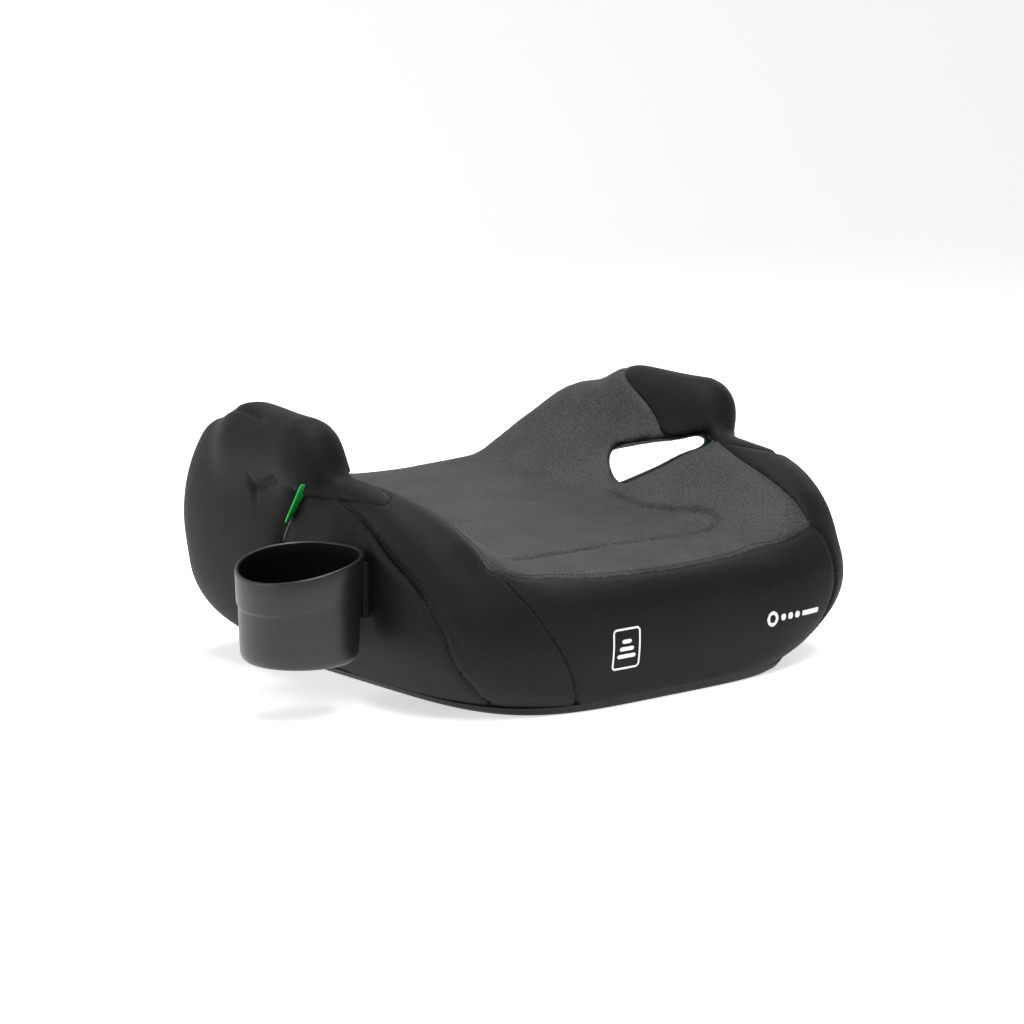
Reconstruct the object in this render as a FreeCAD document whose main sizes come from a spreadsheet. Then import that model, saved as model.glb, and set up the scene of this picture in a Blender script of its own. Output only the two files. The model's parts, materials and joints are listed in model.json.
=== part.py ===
"""Backless car booster seat: a plastic shell under foam and a sewn cover, with armrest horns, belt
guides, a lift-off cup holder and a pair of stowable anchor latches.  Millimetres, +X to the right
as the seat is seen from its front, front at -Y, +Z up, origin on the floor under the middle."""
import FreeCAD, Part
import Sketcher
import math
import os
from FreeCAD import Placement, Rotation, Vector

doc = FreeCAD.newDocument("booster_seat")

# ---------------------------------------------------------------- driving dimensions
DIMENSIONS = [
    # overall form of the padded seat
    ("seat_width", 430, "widest part of the seat, without the horns or the cup holder"),
    ("front_reach", 196, "origin to the front face"),
    ("rear_reach", 192, "origin to the rear face"),
    ("side_tuck", 55, "how far the sides tuck in at the floor"),
    ("front_tuck", 11, "how far the front tucks in at the floor"),
    ("front_lean", 8, "how far the front leans back at the widest height"),
    ("rear_tuck", 20, "how far the rear tucks in at the floor"),
    ("flare_height", 100, "height at which the sides are widest"),
    ("pan_front", 103, "height of the sitting surface at its front"),
    ("pan_rear", 126, "height of the sitting surface at its rear edge"),
    ("crown_rise", 50, "how far the side bolsters stand above the sitting surface"),
    ("crown_span", 95, "width over which a bolster rises"),
    ("edge_drop", 14, "how far the top rolls down at the outline"),
    # soft layers and mouldings
    ("cover_thick", 2.5, "cover fabric with its backing"),
    ("pad_thick", 28, "foam over the shell"),
    ("foam_play", 0.35, "play between the foam and the shell"),
    ("shell_wall", 3, "shell wall"),
    ("tray_wall", 3, "base tray floor and rim"),
    ("rim_height", 7, "height of the base tray rim, where the cover ends"),
    # armrest horns
    ("horn_inset", 14, "horn centre plane, in from the widest part of the seat"),
    ("horn_thick", 60, "horn thickness across the seat"),
    ("horn_round", 22, "rounding of the horn's edges"),
    ("ear_radius", 83, "rear disc of the horn"),
    ("ear_height", 117, "height of the rear disc's centre"),
    ("ear_setback", 107, "rear disc's centre, forward of the rear face"),
    ("tip_radius", 31, "front end of the horn"),
    ("tip_height", 180, "height of the horn tip's centre"),
    ("tip_forward", 93, "horn tip's centre, forward of the disc's centre"),
    ("frame_thick", 14, "plastic plate inside a horn"),
    ("frame_margin", 20, "foam around that plate"),
    ("peg_radius", 8, "pegs that carry the plate"),
    # belt slot between horn and bolster
    ("slot_radius", 13, "closed end of the belt slot"),
    ("slot_mouth_radius", 4.5, "open end of the belt slot"),
    ("slot_back", 17, "slot end's centre, forward of the disc's centre"),
    ("slot_height", 128, "height of the slot end's centre"),
    ("slot_run", 158, "length of the slot towards the front"),
    ("slot_climb", 50, "rise of the slot over that length"),
    ("guide_width", 16, "width of a belt guide along the slot's wall"),
    # anchor latches
    ("latch_spacing", 280, "distance between the two latches"),
    ("arm_width", 28, "latch arm width"),
    ("arm_depth", 32, "latch arm height"),
    ("arm_length", 166, "latch arm length"),
    ("arm_height", 52, "height of the arm's middle"),
    ("arm_setback", 36, "stowed arm end, forward of the rear face"),
    ("rail_length", 138, "guide rail length"),
    ("rail_wall", 3, "guide rail wall"),
    ("slide_gap", 0.5, "play between an arm and its rail"),
    ("port_gap", 1.5, "clearance of the rear openings around an arm"),
    ("jaw_height", 8, "latch jaw opening"),
    ("jaw_depth", 24, "latch jaw depth"),
    ("hook_thick", 4, "hook plate"),
    ("hook_play", 0.2, "play on each side of the hook plate"),
    ("pin_radius", 2.5, "hook pin"),
    ("pin_play", 0.05, "running clearance on the pin"),
    ("tube_radius", 8, "cross tube"),
    ("button_travel", 8, "release button travel"),
    ("button_length", 20, "release button"),
    ("button_depth", 12, "release button height"),
    # cup holder
    ("cup_radius", 45, "cup holder, outside"),
    ("cup_wall", 2.5, "cup holder wall"),
    ("cup_tall", 80, "cup holder height"),
    ("cup_base", 42, "height of the cup holder's underside"),
    ("cup_gap", 4, "space between the cup holder and the seat"),
    ("cup_forward", 68, "cup holder's centre, forward of the origin"),
    ("cup_step", 1.2, "how far the upper band stands out"),
    ("cup_band", 24, "height of the upper band"),
    ("cup_dip", 15, "depth of the dip in the rim"),
    ("cup_dip_radius", 48, "radius of the dip in the rim"),
    ("tongue_width", 25, "sliding tongue on the cup holder"),
    ("tongue_thick", 1.9, "sliding tongue thickness"),
    ("tongue_play", 0.3, "play around the tongue"),
    ("bracket_width", 38, "cup bracket width"),
    ("bracket_tall", 40, "cup bracket height"),
    ("bracket_base", 72, "height of the cup bracket's underside"),
    ("bracket_floor", 15, "depth of solid plastic under the bracket's groove"),
    # fasteners and feet
    ("screw_radius", 2, "shank of the self-tapping screws"),
    ("screw_head", 4, "head radius of the screws"),
    ("screw_head_tall", 2.4, "head height of the screws"),
    ("boss_radius", 6, "screw boss"),
    ("foot_length", 60, "anti-slip strip"),
    ("foot_width", 16, "anti-slip strip"),
    ("foot_thick", 1.5, "anti-slip strip"),
]

sheet = doc.addObject("Spreadsheet::Sheet", "sizes")
for row, (alias, value, note) in enumerate(DIMENSIONS, start=1):
    sheet.set("A%d" % row, alias)
    sheet.set("B%d" % row, str(value))
    sheet.set("C%d" % row, note)
    sheet.setAlias("B%d" % row, alias)
doc.recompute()


class Size:
    """A length that carries its value and the sheet expression it comes from."""

    def __init__(self, value, text):
        self.value = float(value)
        self.text = text

    @staticmethod
    def of(other):
        return other if isinstance(other, Size) else Size(other, "(%s)" % repr(float(other)))

    def __add__(self, other):
        other = Size.of(other)
        return Size(self.value + other.value, "(%s + %s)" % (self.text, other.text))

    def __sub__(self, other):
        other = Size.of(other)
        return Size(self.value - other.value, "(%s - %s)" % (self.text, other.text))

    def __mul__(self, other):
        other = Size.of(other)
        return Size(self.value * other.value, "(%s * %s)" % (self.text, other.text))

    def __truediv__(self, other):
        other = Size.of(other)
        return Size(self.value / other.value, "(%s / %s)" % (self.text, other.text))

    def __radd__(self, other):
        return Size.of(other) + self

    def __rsub__(self, other):
        return Size.of(other) - self

    def __rmul__(self, other):
        return Size.of(other) * self

    def __neg__(self):
        return Size(-self.value, "(0 - %s)" % self.text)


class Sizes:
    """Attribute access to the sheet: dim.seat_width is a Size."""

    def __getattr__(self, alias):
        return Size(sheet.get(alias), "sizes." + alias)


dim = Sizes()
nodes = {}

# ---------------------------------------------------------------- derived places
half_width = dim.seat_width / 2
horn_x = half_width - dim.horn_inset
ear_y = dim.rear_reach - dim.ear_setback
tip_y = ear_y - dim.tip_forward
slot_y = ear_y - dim.slot_back
arm_x = dim.latch_spacing / 2
arm_end = dim.rear_reach - dim.arm_setback
arm_start = arm_end - dim.arm_length
rail_start = arm_start
cup_x = -(half_width + dim.cup_gap + dim.cup_radius)
cup_y = -dim.cup_forward


# ---------------------------------------------------------------- document helpers
def bind(obj, **sizes):
    """Bind properties of obj to sizes; x, y and z stand for its placement."""
    for name, size in sizes.items():
        prop = "Placement.Base." + name if name in ("x", "y", "z") else name
        obj.setExpression(prop, Size.of(size).text)
    return obj


def block(name, x, y, z, length, width, height):
    """A box from its lowest corner and its three sizes."""
    return bind(doc.addObject("Part::Box", name), x=x, y=y, z=z, Length=length, Width=width, Height=height)


def rod(name, x, y, z, radius, height, axis=Vector(0, 0, 1)):
    """A cylinder from the middle of its first end, along axis."""
    obj = doc.addObject("Part::Cylinder", name)
    obj.Placement = Placement(Vector(), Rotation(Vector(0, 0, 1), axis))
    return bind(obj, x=x, y=y, z=z, Radius=radius, Height=height)


def fuse(name, *parts):
    obj = doc.addObject("Part::MultiFuse", name)
    obj.Shapes = list(parts)
    return obj


def cut(name, base, tool):
    obj = doc.addObject("Part::Cut", name)
    obj.Base = base
    obj.Tool = tool
    return obj


def common(name, *parts):
    obj = doc.addObject("Part::MultiCommon", name)
    obj.Shapes = list(parts)
    return obj


def group(name, parts):
    """Separate solids that share one node."""
    obj = doc.addObject("Part::Compound", name)
    obj.Links = list(parts)
    return obj


def shaped(name, shape):
    """A free-form solid made with Part's own functions."""
    obj = doc.addObject("Part::Feature", name)
    obj.Shape = shape
    return obj


def node(label, obj):
    """Name obj as a sub-part of the seat."""
    obj.Label = label
    nodes[label] = obj
    return obj


def origin_plane(body, role):
    return next(item for item in body.Origin.OriginFeatures if item.Role == role)


def sketch_on(body, name, role, offset=0.0):
    """A sketch on one of the body's own origin planes, moved along its normal by offset."""
    sketch = body.newObject("Sketcher::SketchObject", name)
    sketch.AttachmentSupport = [(origin_plane(body, role), "")]
    sketch.MapMode = "FlatFace"
    sketch.setExpression("AttachmentOffset.Base.z", Size.of(offset).text)
    return sketch


def outline(sketch, corners):
    """A closed polygon whose every corner is placed by sizes."""
    points = [Vector(Size.of(a).value, Size.of(b).value, 0) for a, b in corners]
    count = len(points)
    for i in range(count):
        sketch.addGeometry(Part.LineSegment(points[i], points[(i + 1) % count]), False)
    for i in range(count):
        sketch.addConstraint(Sketcher.Constraint("Coincident", i, 2, (i + 1) % count, 1))
    for i, (a, b) in enumerate(corners):
        for kind, size, value in (("DistanceX", a, points[i].x), ("DistanceY", b, points[i].y)):
            index = sketch.addConstraint(Sketcher.Constraint(kind, -1, 1, i, 1, value))
            sketch.setExpression("Constraints[%d]" % index, Size.of(size).text)
    return sketch


def padded(body, sketch, length, symmetric=False):
    """Pad a sketch of the body by length along the sketch normal."""
    pad = body.newObject("PartDesign::Pad", body.Name + "_pad")
    pad.Profile = sketch
    pad.setExpression("Length", Size.of(length).text)
    if symmetric:
        pad.SideType = "Symmetric"
    sketch.Visibility = False
    return pad


# ---------------------------------------------------------------- the seat's own curves
def smooth(value):
    value = min(max(value, 0.0), 1.0)
    return value * value * (3 - 2 * value)


def half_width_at(height):
    below = max(0.0, 1 - height / dim.flare_height.value)
    return half_width.value - dim.side_tuck.value * below ** 2


def front_at(height):
    """Front reach: tucked in at the floor, fullest at 50 mm, leaning back above."""
    fullest = dim.flare_height.value / 2
    if height < fullest:
        return dim.front_reach.value - dim.front_tuck.value * (1 - height / fullest) ** 2
    return dim.front_reach.value - dim.front_lean.value * ((height - fullest) / fullest) ** 2


def rear_at(height):
    below = max(0.0, 1 - height / dim.flare_height.value)
    return dim.rear_reach.value - dim.rear_tuck.value * below ** 2


FRONT_POWER = 4.4
REAR_POWER = 3.8


def outline_point(angle, height, inset):
    """Point of the rounded outline in a direction from the middle, moved inwards by inset."""
    cosine, sine = math.cos(angle), math.sin(angle)
    power = FRONT_POWER if sine < 0 else REAR_POWER
    across = half_width_at(height) - inset
    along = (front_at(height) if sine < 0 else rear_at(height)) - inset
    reach = (abs(cosine / across) ** power + abs(sine / along) ** power) ** (-1 / power)
    return Vector(reach * cosine, reach * sine, height)


def outline_wire(height, inset, steps=56):
    """Closed curve of the outline at one height."""
    points = [outline_point(2 * math.pi * i / steps, height, inset) for i in range(steps)]
    curve = Part.BSplineCurve()
    curve.interpolate(points, PeriodicFlag=True)
    return Part.Wire(curve.toShape())


def prism_of_seat(low, high, inset):
    """The seat's side wall as a closed solid between two heights, cut from one common surface."""
    levels = (-6, 8, 25, 50, 75, 100, 140, 195)
    whole = Part.makeLoft([outline_wire(z, inset) for z in levels], True, False)
    return whole.common(Part.makeBox(2000, 2000, high - low, Vector(-1000, -1000, low))).Solids[0]


def top_height(x, y):
    """Height of the padded top over a point of the floor."""
    run = (y + dim.front_reach.value) / (dim.front_reach.value + dim.rear_reach.value)
    pan = dim.pan_front.value + (dim.pan_rear.value - dim.pan_front.value) * max(run, 0.0) ** 1.2
    flat = half_width.value - 118
    side = smooth((abs(x) - flat) / dim.crown_span.value)
    crown = dim.crown_rise.value * smooth((y + dim.front_reach.value + 19) / 140)
    level = dim.flare_height.value
    power = FRONT_POWER if y < 0 else REAR_POWER
    reach = front_at(level) if y < 0 else rear_at(level)
    ring = (abs(x) / half_width_at(level)) ** power + (abs(y) / reach) ** power
    return pan + crown * side - dim.edge_drop.value * min(ring, 2.2) ** 2.4


def under_top(drop, margin=1.12, depth=260):
    """Everything below the top surface lowered by drop, margin times as wide as the seat."""
    reach_x = half_width.value * margin
    reach_y = max(dim.front_reach.value, dim.rear_reach.value) * margin
    steps = 34
    poles = []
    for i in range(steps + 1):
        x = reach_x * (2 * i / steps - 1)
        line = [reach_y * (2 * j / steps - 1) for j in range(steps + 1)]
        poles.append([Vector(x, y, top_height(x, y) - drop) for y in line])
    knots = [float(i) for i in range(steps - 1)]
    mults = [4] + [1] * (steps - 3) + [4]
    surface = Part.BSplineSurface()
    surface.buildFromPolesMultsKnots(poles, mults, mults, knots, knots, False, False, 3, 3)
    return surface.toShape().extrude(Vector(0, 0, -depth))


def two_circle_face(x, first, first_radius, second, second_radius):
    """Flat face in the plane at x: the outline round two circles and their outer tangents."""
    span = Vector(0, second[0] - first[0], second[1] - first[1])
    along = Vector(span).normalize()
    across = Vector(0, -along.z, along.y)
    lean = (first_radius - second_radius) / span.Length
    rise = math.sqrt(1 - lean ** 2)

    def edge_point(centre, radius, sign):
        direction = along * lean + across * (rise * sign)
        return Vector(x, centre[0], centre[1]) + direction * radius

    a, b = edge_point(first, first_radius, 1), edge_point(second, second_radius, 1)
    c, d = edge_point(second, second_radius, -1), edge_point(first, first_radius, -1)
    far = Vector(x, second[0], second[1]) + along * second_radius
    near = Vector(x, first[0], first[1]) - along * first_radius
    edges = [Part.LineSegment(a, b), Part.Arc(b, far, c), Part.LineSegment(c, d), Part.Arc(d, near, a)]
    return Part.Face(Part.Wire([edge.toShape() for edge in edges]))


def horn_solid(side, inset):
    """Horn with rounded edges on one side (+1 right, -1 left), moved inwards by inset."""
    thick = dim.horn_thick.value - 2 * inset
    face = two_circle_face(
        side * horn_x.value - thick / 2,
        (ear_y.value, dim.ear_height.value), dim.ear_radius.value - inset,
        (tip_y.value, dim.tip_height.value), dim.tip_radius.value - inset)
    solid = face.extrude(Vector(thick, 0, 0))
    rims = [edge for edge in solid.Edges if edge.BoundBox.XLength < 0.01]
    return solid.makeFillet(dim.horn_round.value - inset, rims)


def slot_solid(side, grow, inner=None, outer=None):
    """The belt slot's space on one side, grown by grow."""
    inner = half_width.value - 108 - grow if inner is None else inner
    outer = half_width.value + 60 if outer is None else outer
    face = two_circle_face(
        min(side * inner, side * outer),
        (slot_y.value, dim.slot_height.value), dim.slot_radius.value + grow,
        (slot_y.value - dim.slot_run.value, dim.slot_height.value + dim.slot_climb.value),
        dim.slot_mouth_radius.value + grow)
    return face.extrude(Vector(outer - inner, 0, 0))


def flat_prism(plane, points, low, high):
    """A prism from a polygon in the XY, XZ or YZ plane, between low and high on the third axis."""
    lift = {"XY": lambda a, b: Vector(a, b, low), "XZ": lambda a, b: Vector(a, low, b),
            "YZ": lambda a, b: Vector(low, a, b)}[plane]
    along = {"XY": Vector(0, 0, 1), "XZ": Vector(0, 1, 0), "YZ": Vector(1, 0, 0)}[plane]
    corners = [lift(a, b) for a, b in points]
    return Part.Face(Part.makePolygon(corners + corners[:1])).extrude(along * (high - low))


SIDES = (("left", -1), ("right", 1))

# ---------------------------------------------------------------- envelopes of the layers
HIGH = 190.0   # above every part of the seat body
LOW = -4.0     # below the floor, so that inner spaces run out of the bottom


def cutters(name, horn_inset, slot_grow):
    """Horns and belt slots of both sides as one tool."""
    shapes = []
    for side_name, side in SIDES:
        shapes.append(shaped(name + "_horn_" + side_name, horn_solid(side, horn_inset)))
        shapes.append(shaped(name + "_slot_" + side_name, slot_solid(side, slot_grow)))
    return fuse(name, *shapes)


def padded_form(name, inset, low):
    """Whole padded outside (seat and horns, without the belt slots), moved inwards by inset."""
    seat = common(
        name + "_seat",
        shaped(name + "_top", under_top(inset)),
        shaped(name + "_wall", prism_of_seat(low, HIGH, inset)))
    horns = [shaped("%s_%s" % (name, word), horn_solid(side, inset)) for word, side in SIDES]
    slots = [shaped("%s_slot_%s" % (name, word), slot_solid(side, inset)) for word, side in SIDES]
    return cut(name, fuse(name + "_solid", seat, *horns), fuse(name + "_slots", *slots))


cover = dim.cover_thick.value
wall = dim.shell_wall.value
pad = dim.pad_thick.value
rim = dim.rim_height.value


# ---------------------------------------------------------------- base tray
def make_base_tray():
    """Floor moulding: shallow tray with rim, screw bosses and seats for the anti-slip strips."""
    floor = dim.tray_wall.value
    outer = shaped("tray_outer", prism_of_seat(0, rim, cover))
    inner = shaped("tray_inner", prism_of_seat(floor, rim + 4, cover + floor))
    tray = cut("tray_shell", outer, inner)
    bosses = [
        rod("tray_boss_%d" % i, x, y, dim.tray_wall - 1, dim.boss_radius, boss_top - dim.tray_wall + 1)
        for i, (x, y) in enumerate(screw_places)]
    holes = [
        rod("tray_hole_%d" % i, x, y, -1, dim.screw_radius + 0.2, boss_top + 5)
        for i, (x, y) in enumerate(screw_places)]
    sinks = [
        rod("tray_sink_%d" % i, x, y, -1, dim.screw_head + 0.3, dim.screw_head_tall + 1.6)
        for i, (x, y) in enumerate(screw_places)]
    recesses = [
        block("tray_recess_%d" % i, x - dim.foot_length / 2, y - dim.foot_width / 2, -1,
              dim.foot_length, dim.foot_width, dim.foot_thick + 1)
        for i, (x, y) in enumerate(foot_places)]
    return cut("base_tray", fuse("tray_body", tray, *bosses), fuse("tray_cuts", *holes, *sinks, *recesses))


boss_top = dim.tray_wall + 5
screw_places = [(x, y) for x in (-dim.latch_spacing / 2.8, dim.latch_spacing / 2.8)
                for y in (-(dim.front_reach * 0.68), -(dim.front_reach * 0.2), dim.rear_reach * 0.75)]
foot_places = [(x, y) for x in (-dim.latch_spacing / 4, dim.latch_spacing / 4)
               for y in (-(dim.front_reach * 0.78), dim.rear_reach * 0.62)]

node("base_tray", make_base_tray())

strips = []
for number, (x, y) in enumerate(foot_places):
    strip = doc.addObject("PartDesign::Body", "strip_%d" % number)
    half_l, half_w = dim.foot_length / 2 - 0.2, dim.foot_width / 2 - 0.2
    corners = [(-half_l, -half_w), (half_l, -half_w), (half_l, half_w), (-half_l, half_w)]
    profile = outline(sketch_on(strip, "strip_sketch_%d" % number, "XY_Plane"), corners)
    padded(strip, profile, dim.foot_thick)
    bind(strip, x=x, y=y, z=0)
    strips.append(strip)
node("anti_slip_strips", group("anti_slip_strips", strips))

# ---------------------------------------------------------------- seat shell
core_top = pad + cover
core = common(
    "core", shaped("core_under", under_top(core_top)), shaped("core_wall", prism_of_seat(rim, HIGH, cover)))
core_cut = cut("core_cut", core, cutters("core_tools", cover, cover))
hollow = common(
    "hollow", shaped("hollow_under", under_top(core_top + wall)),
    shaped("hollow_wall", prism_of_seat(LOW, HIGH, cover + wall)))
hollow_cut = cut("hollow_cut", hollow, cutters("hollow_tools", cover - wall, cover + wall))
shell_skin = cut("shell_skin", core_cut, hollow_cut)

port_play = dim.port_gap
port_x = (arm_x - dim.arm_width / 2 - dim.button_length / 4 - port_play)
port_width = dim.arm_width + dim.button_length / 4 + port_play * 2
port_z = dim.arm_height - dim.arm_depth / 2 - port_play
port_tall = dim.arm_depth + port_play * 2
PORT_DEEP = 120


def ports(name):
    """The two rear openings that the latch arms pass through."""
    right = block(name + "_right", port_x, arm_end - 40, port_z, port_width, PORT_DEEP, port_tall)
    left = block(name + "_left", -port_x - port_width, arm_end - 40, port_z, port_width, PORT_DEEP,
        port_tall)
    return fuse(name, right, left)


shell_bosses = []
shell_holes = []
for number, (x, y) in enumerate(screw_places):
    column = rod("column_%d" % number, x, y, boss_top, dim.boss_radius, 150)
    shell_bosses.append(column)
    shell_holes.append(rod("column_hole_%d" % number, x, y, boss_top - 1, dim.screw_radius, 19))
columns = common("shell_columns", fuse("columns", *shell_bosses), core_cut)
peg_places = [(ear_y, dim.ear_height - 22), (ear_y, dim.ear_height - 52)]
frame_inner = horn_x - dim.frame_thick / 2
horn_face = horn_x - dim.horn_thick / 2 + dim.cover_thick
peg_holes = [
    rod("peg_hole_%s_%d" % (word, i), side * (horn_face - 12), y, z, dim.screw_radius + 0.2, 24,
        Vector(side, 0, 0))
    for word, side in SIDES for i, (y, z) in enumerate(peg_places)]

# the cup bracket sits on the shell's side and the cover is cut out round it
bracket_x = -(half_width - dim.cover_thick) - dim.cover_thick - 3
bracket_deep = dim.cover_thick + 3
shell_body = fuse("shell_body", shell_skin, columns)
shell_tools = fuse("shell_tools", ports("shell_ports"), *shell_holes, *peg_holes)
node("seat_shell", cut("seat_shell", shell_body, shell_tools))

screws = []
for number, (x, y) in enumerate(screw_places):
    head = rod("screw_head_%d" % number, x, y, 0.6, dim.screw_head, dim.screw_head_tall)
    shank = rod("screw_shank_%d" % number, x, y, 0.6, dim.screw_radius - 0.02, 22)
    drive = rod("screw_drive_%d" % number, x, y, -0.4, dim.screw_radius * 0.6, 2.2)
    screws.append(cut("screw_%d" % number, fuse("screw_body_%d" % number, head, shank), drive))
node("base_screws", group("base_screws", screws))

# ---------------------------------------------------------------- foam
foam_zone = cut(
    "foam_zone", shaped("foam_top", under_top(cover)),
        shaped("foam_under", under_top(core_top - dim.foam_play.value, 1.2, 300)))
foam = cut(
    "foam", common("foam_layer", foam_zone, shaped("foam_wall", prism_of_seat(rim, HIGH, cover))),
    cutters("foam_tools", cover, cover))
pad_half = half_width - dim.crown_span * 0.68
FAR = 400
pad_zone = block("pad_zone", -pad_half, -FAR, 0, pad_half * 2, 2 * FAR, FAR)
node("seat_foam", common("seat_foam", foam, pad_zone))
for word, side in SIDES:
    start = pad_half if side > 0 else -pad_half - FAR
    zone = block("bolster_zone_" + word, start, -FAR, 0, FAR, 2 * FAR, FAR)
    node(word + "_bolster_foam", common(word + "_bolster_foam", foam, zone))

# ---------------------------------------------------------------- horns: frame, screws and foam
for word, side in SIDES:
    plate_face = two_circle_face(
        side * horn_x.value - dim.frame_thick.value / 2,
        (ear_y.value, dim.ear_height.value), dim.ear_radius.value - dim.frame_margin.value,
        (tip_y.value, dim.tip_height.value), dim.tip_radius.value - dim.frame_margin.value)
    plate = shaped(word + "_plate", plate_face.extrude(Vector(dim.frame_thick.value, 0, 0)))
    clear = shaped(word + "_plate_slot", slot_solid(side, cover + 6))
    pegs = [
        rod("%s_peg_%d" % (word, i), side * horn_face, y, z, dim.peg_radius,
            frame_inner - horn_face + 1, Vector(side, 0, 0))
        for i, (y, z) in enumerate(peg_places)]
    bores = [
        rod("%s_bore_%d" % (word, i), side * (horn_face - 1), y, z, dim.screw_radius, 14,
            Vector(side, 0, 0))
        for i, (y, z) in enumerate(peg_places)]
    solid_frame = fuse(word + "_frame_solid", cut(word + "_plate_cut", plate, clear), *pegs)
    frame = node(word + "_horn_frame", cut(word + "_horn_frame", solid_frame,
        fuse(word + "_bores", *bores)))
    whole = cut(
        word + "_horn_form", shaped(word + "_horn_core", horn_solid(side, cover)),
        shaped(word + "_horn_gap", slot_solid(side, cover)))
    node(word + "_horn_foam", cut(word + "_horn_foam", whole, solid_frame))

horn_screws = []
for word, side in SIDES:
    for i, (y, z) in enumerate(peg_places):
        head_x = side * (horn_face - dim.shell_wall - dim.screw_head_tall)
        head = rod("%s_screw_head_%d" % (word, i), head_x, y, z, dim.screw_head, dim.screw_head_tall,
                   Vector(side, 0, 0))
        shank = rod("%s_screw_shank_%d" % (word, i), head_x, y, z, dim.screw_radius - 0.02, 16,
            Vector(side, 0, 0))
        horn_screws.append(fuse("%s_screw_%d" % (word, i), head, shank))
node("horn_screws", group("horn_screws", horn_screws))

# ---------------------------------------------------------------- cover, cut into its panels
cover_form = cut("cover_form", padded_form("skin_outer", 0, rim), padded_form("skin_inner", cover, LOW))
bracket_window = block(
    "bracket_window", bracket_x - 10, cup_y - dim.bracket_width / 2 - 0.4, dim.bracket_base - 0.4,
    30, dim.bracket_width + 0.8, dim.bracket_tall + 0.8)
cover_open = cut("cover_open", cover_form, fuse("cover_windows", ports("cover_ports"), bracket_window))

wide = half_width.value
seam_x = wide - 52           # where a bolster's crown meets the sitting surface
front_y = -dim.front_reach.value
front_low, front_mid, front_corner = 88.0, 99.0, 114.0
FRONT_FOOT = 73.0            # how far the front panel narrows towards the floor, each side
EAR_SEAM_Y, EAR_SEAM_Z = 10.0, 40.0   # front and lower edges of the ear's panel
MOUTH_BACK = 52.0            # front end of a belt guide, forward of the slot's closed end
taken = []


def panel(label, zone):
    """The part of the cover in a zone, less what earlier panels have taken, is one panel."""
    own = cut(label + "_zone", zone, fuse(label + "_taken", *taken)) if len(taken) > 1 else zone
    node(label, common(label, cover_open, own))
    taken.append(zone)


for word, side in SIDES:
    inner = horn_x.value - dim.guide_width.value / 2
    outer = horn_x.value + dim.guide_width.value / 2
    mouth_y = slot_y.value - MOUTH_BACK
    ring = slot_solid(side, cover + 1, inner, outer)
    keep = flat_prism("YZ", [(mouth_y, 60), (mouth_y + FAR, 60), (mouth_y + FAR, 220), (mouth_y, 220)],
        -FAR, FAR)
    panel(word + "_belt_guide", common("%s_guide_zone" % word, shaped(word + "_guide_ring", ring),
                                       shaped(word + "_guide_keep", keep)))

seam_steps = 8
smile = [(seam_x * (2 * i / seam_steps - 1),
    front_mid + (front_corner - front_mid) * (2 * i / seam_steps - 1) ** 2)
         for i in range(seam_steps, -1, -1)]
panel("front_cover", shaped("front_zone", flat_prism(
    "XZ", [(-seam_x + FRONT_FOOT, -10), (seam_x - FRONT_FOOT, -10)] + smile, front_y - 60, front_y + 70)))

tip_seam = [(ear_y.value - 5, 207), (ear_y.value - 88, 158)]
seat_zone = shaped("seat_zone", flat_prism("XY", [
    (-seam_x, front_y - 60), (seam_x, front_y - 60), (seam_x, 0), (horn_x.value, 60), (horn_x.value, FAR),
    (-horn_x.value, FAR), (-horn_x.value, 60), (-seam_x, 0)], front_low, FAR))
tip_points = [(front_y, 158), tip_seam[1], tip_seam[0], (ear_y.value + 25, 232), (front_y, 232)]
tips = [shaped("tip_zone_" + word, flat_prism("YZ", tip_points, *sorted((side * 120, side * FAR))))
        for word, side in SIDES]
panel("seat_cover", cut("seat_only_zone", seat_zone, fuse("tip_zones", *tips)))

for word, side in SIDES:
    low_x = min(side * horn_x.value, side * FAR)
    ear_zone = block("ear_zone_" + word, low_x, EAR_SEAM_Y, EAR_SEAM_Z, FAR - horn_x.value, FAR, FAR)
    tip_again = shaped("tip_again_" + word, flat_prism("YZ", tip_points, *sorted((side * 120, side * FAR))))
    panel(word + "_horn_cover", fuse(word + "_horn_zone", ear_zone, tip_again))

corner_back = [(front_y + 48, -10), (front_y + 44, 30), (front_y + 38, 72), (front_y + 56, 106), (4, 160)]
for word, side in SIDES:
    points = [(front_y - 60, -10)] + corner_back + [(-20, 220), (front_y - 60, 220)]
    zone = shaped(word + "_corner_zone", flat_prism("YZ", points, *sorted((side * 40, side * FAR))))
    panel(word + "_corner_cover", zone)

rear_half = wide - 48
panel("rear_cover", block("rear_zone", -rear_half, dim.rear_reach * 0.6, -10, rear_half * 2, FAR, FAR))
for word, side in SIDES:
    panel(word + "_side_cover", block("side_zone_" + word, 0 if side > 0 else -FAR, -FAR, -10, FAR,
        2 * FAR, FAR))

hem_low = 2.5
hem_outer = shaped("hem_outer", prism_of_seat(hem_low, rim, 0.3))
hem_inner = shaped("hem_inner", prism_of_seat(0, rim + 3, cover))
node("hem_elastic", cut("hem_elastic", hem_outer, hem_inner))

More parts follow.
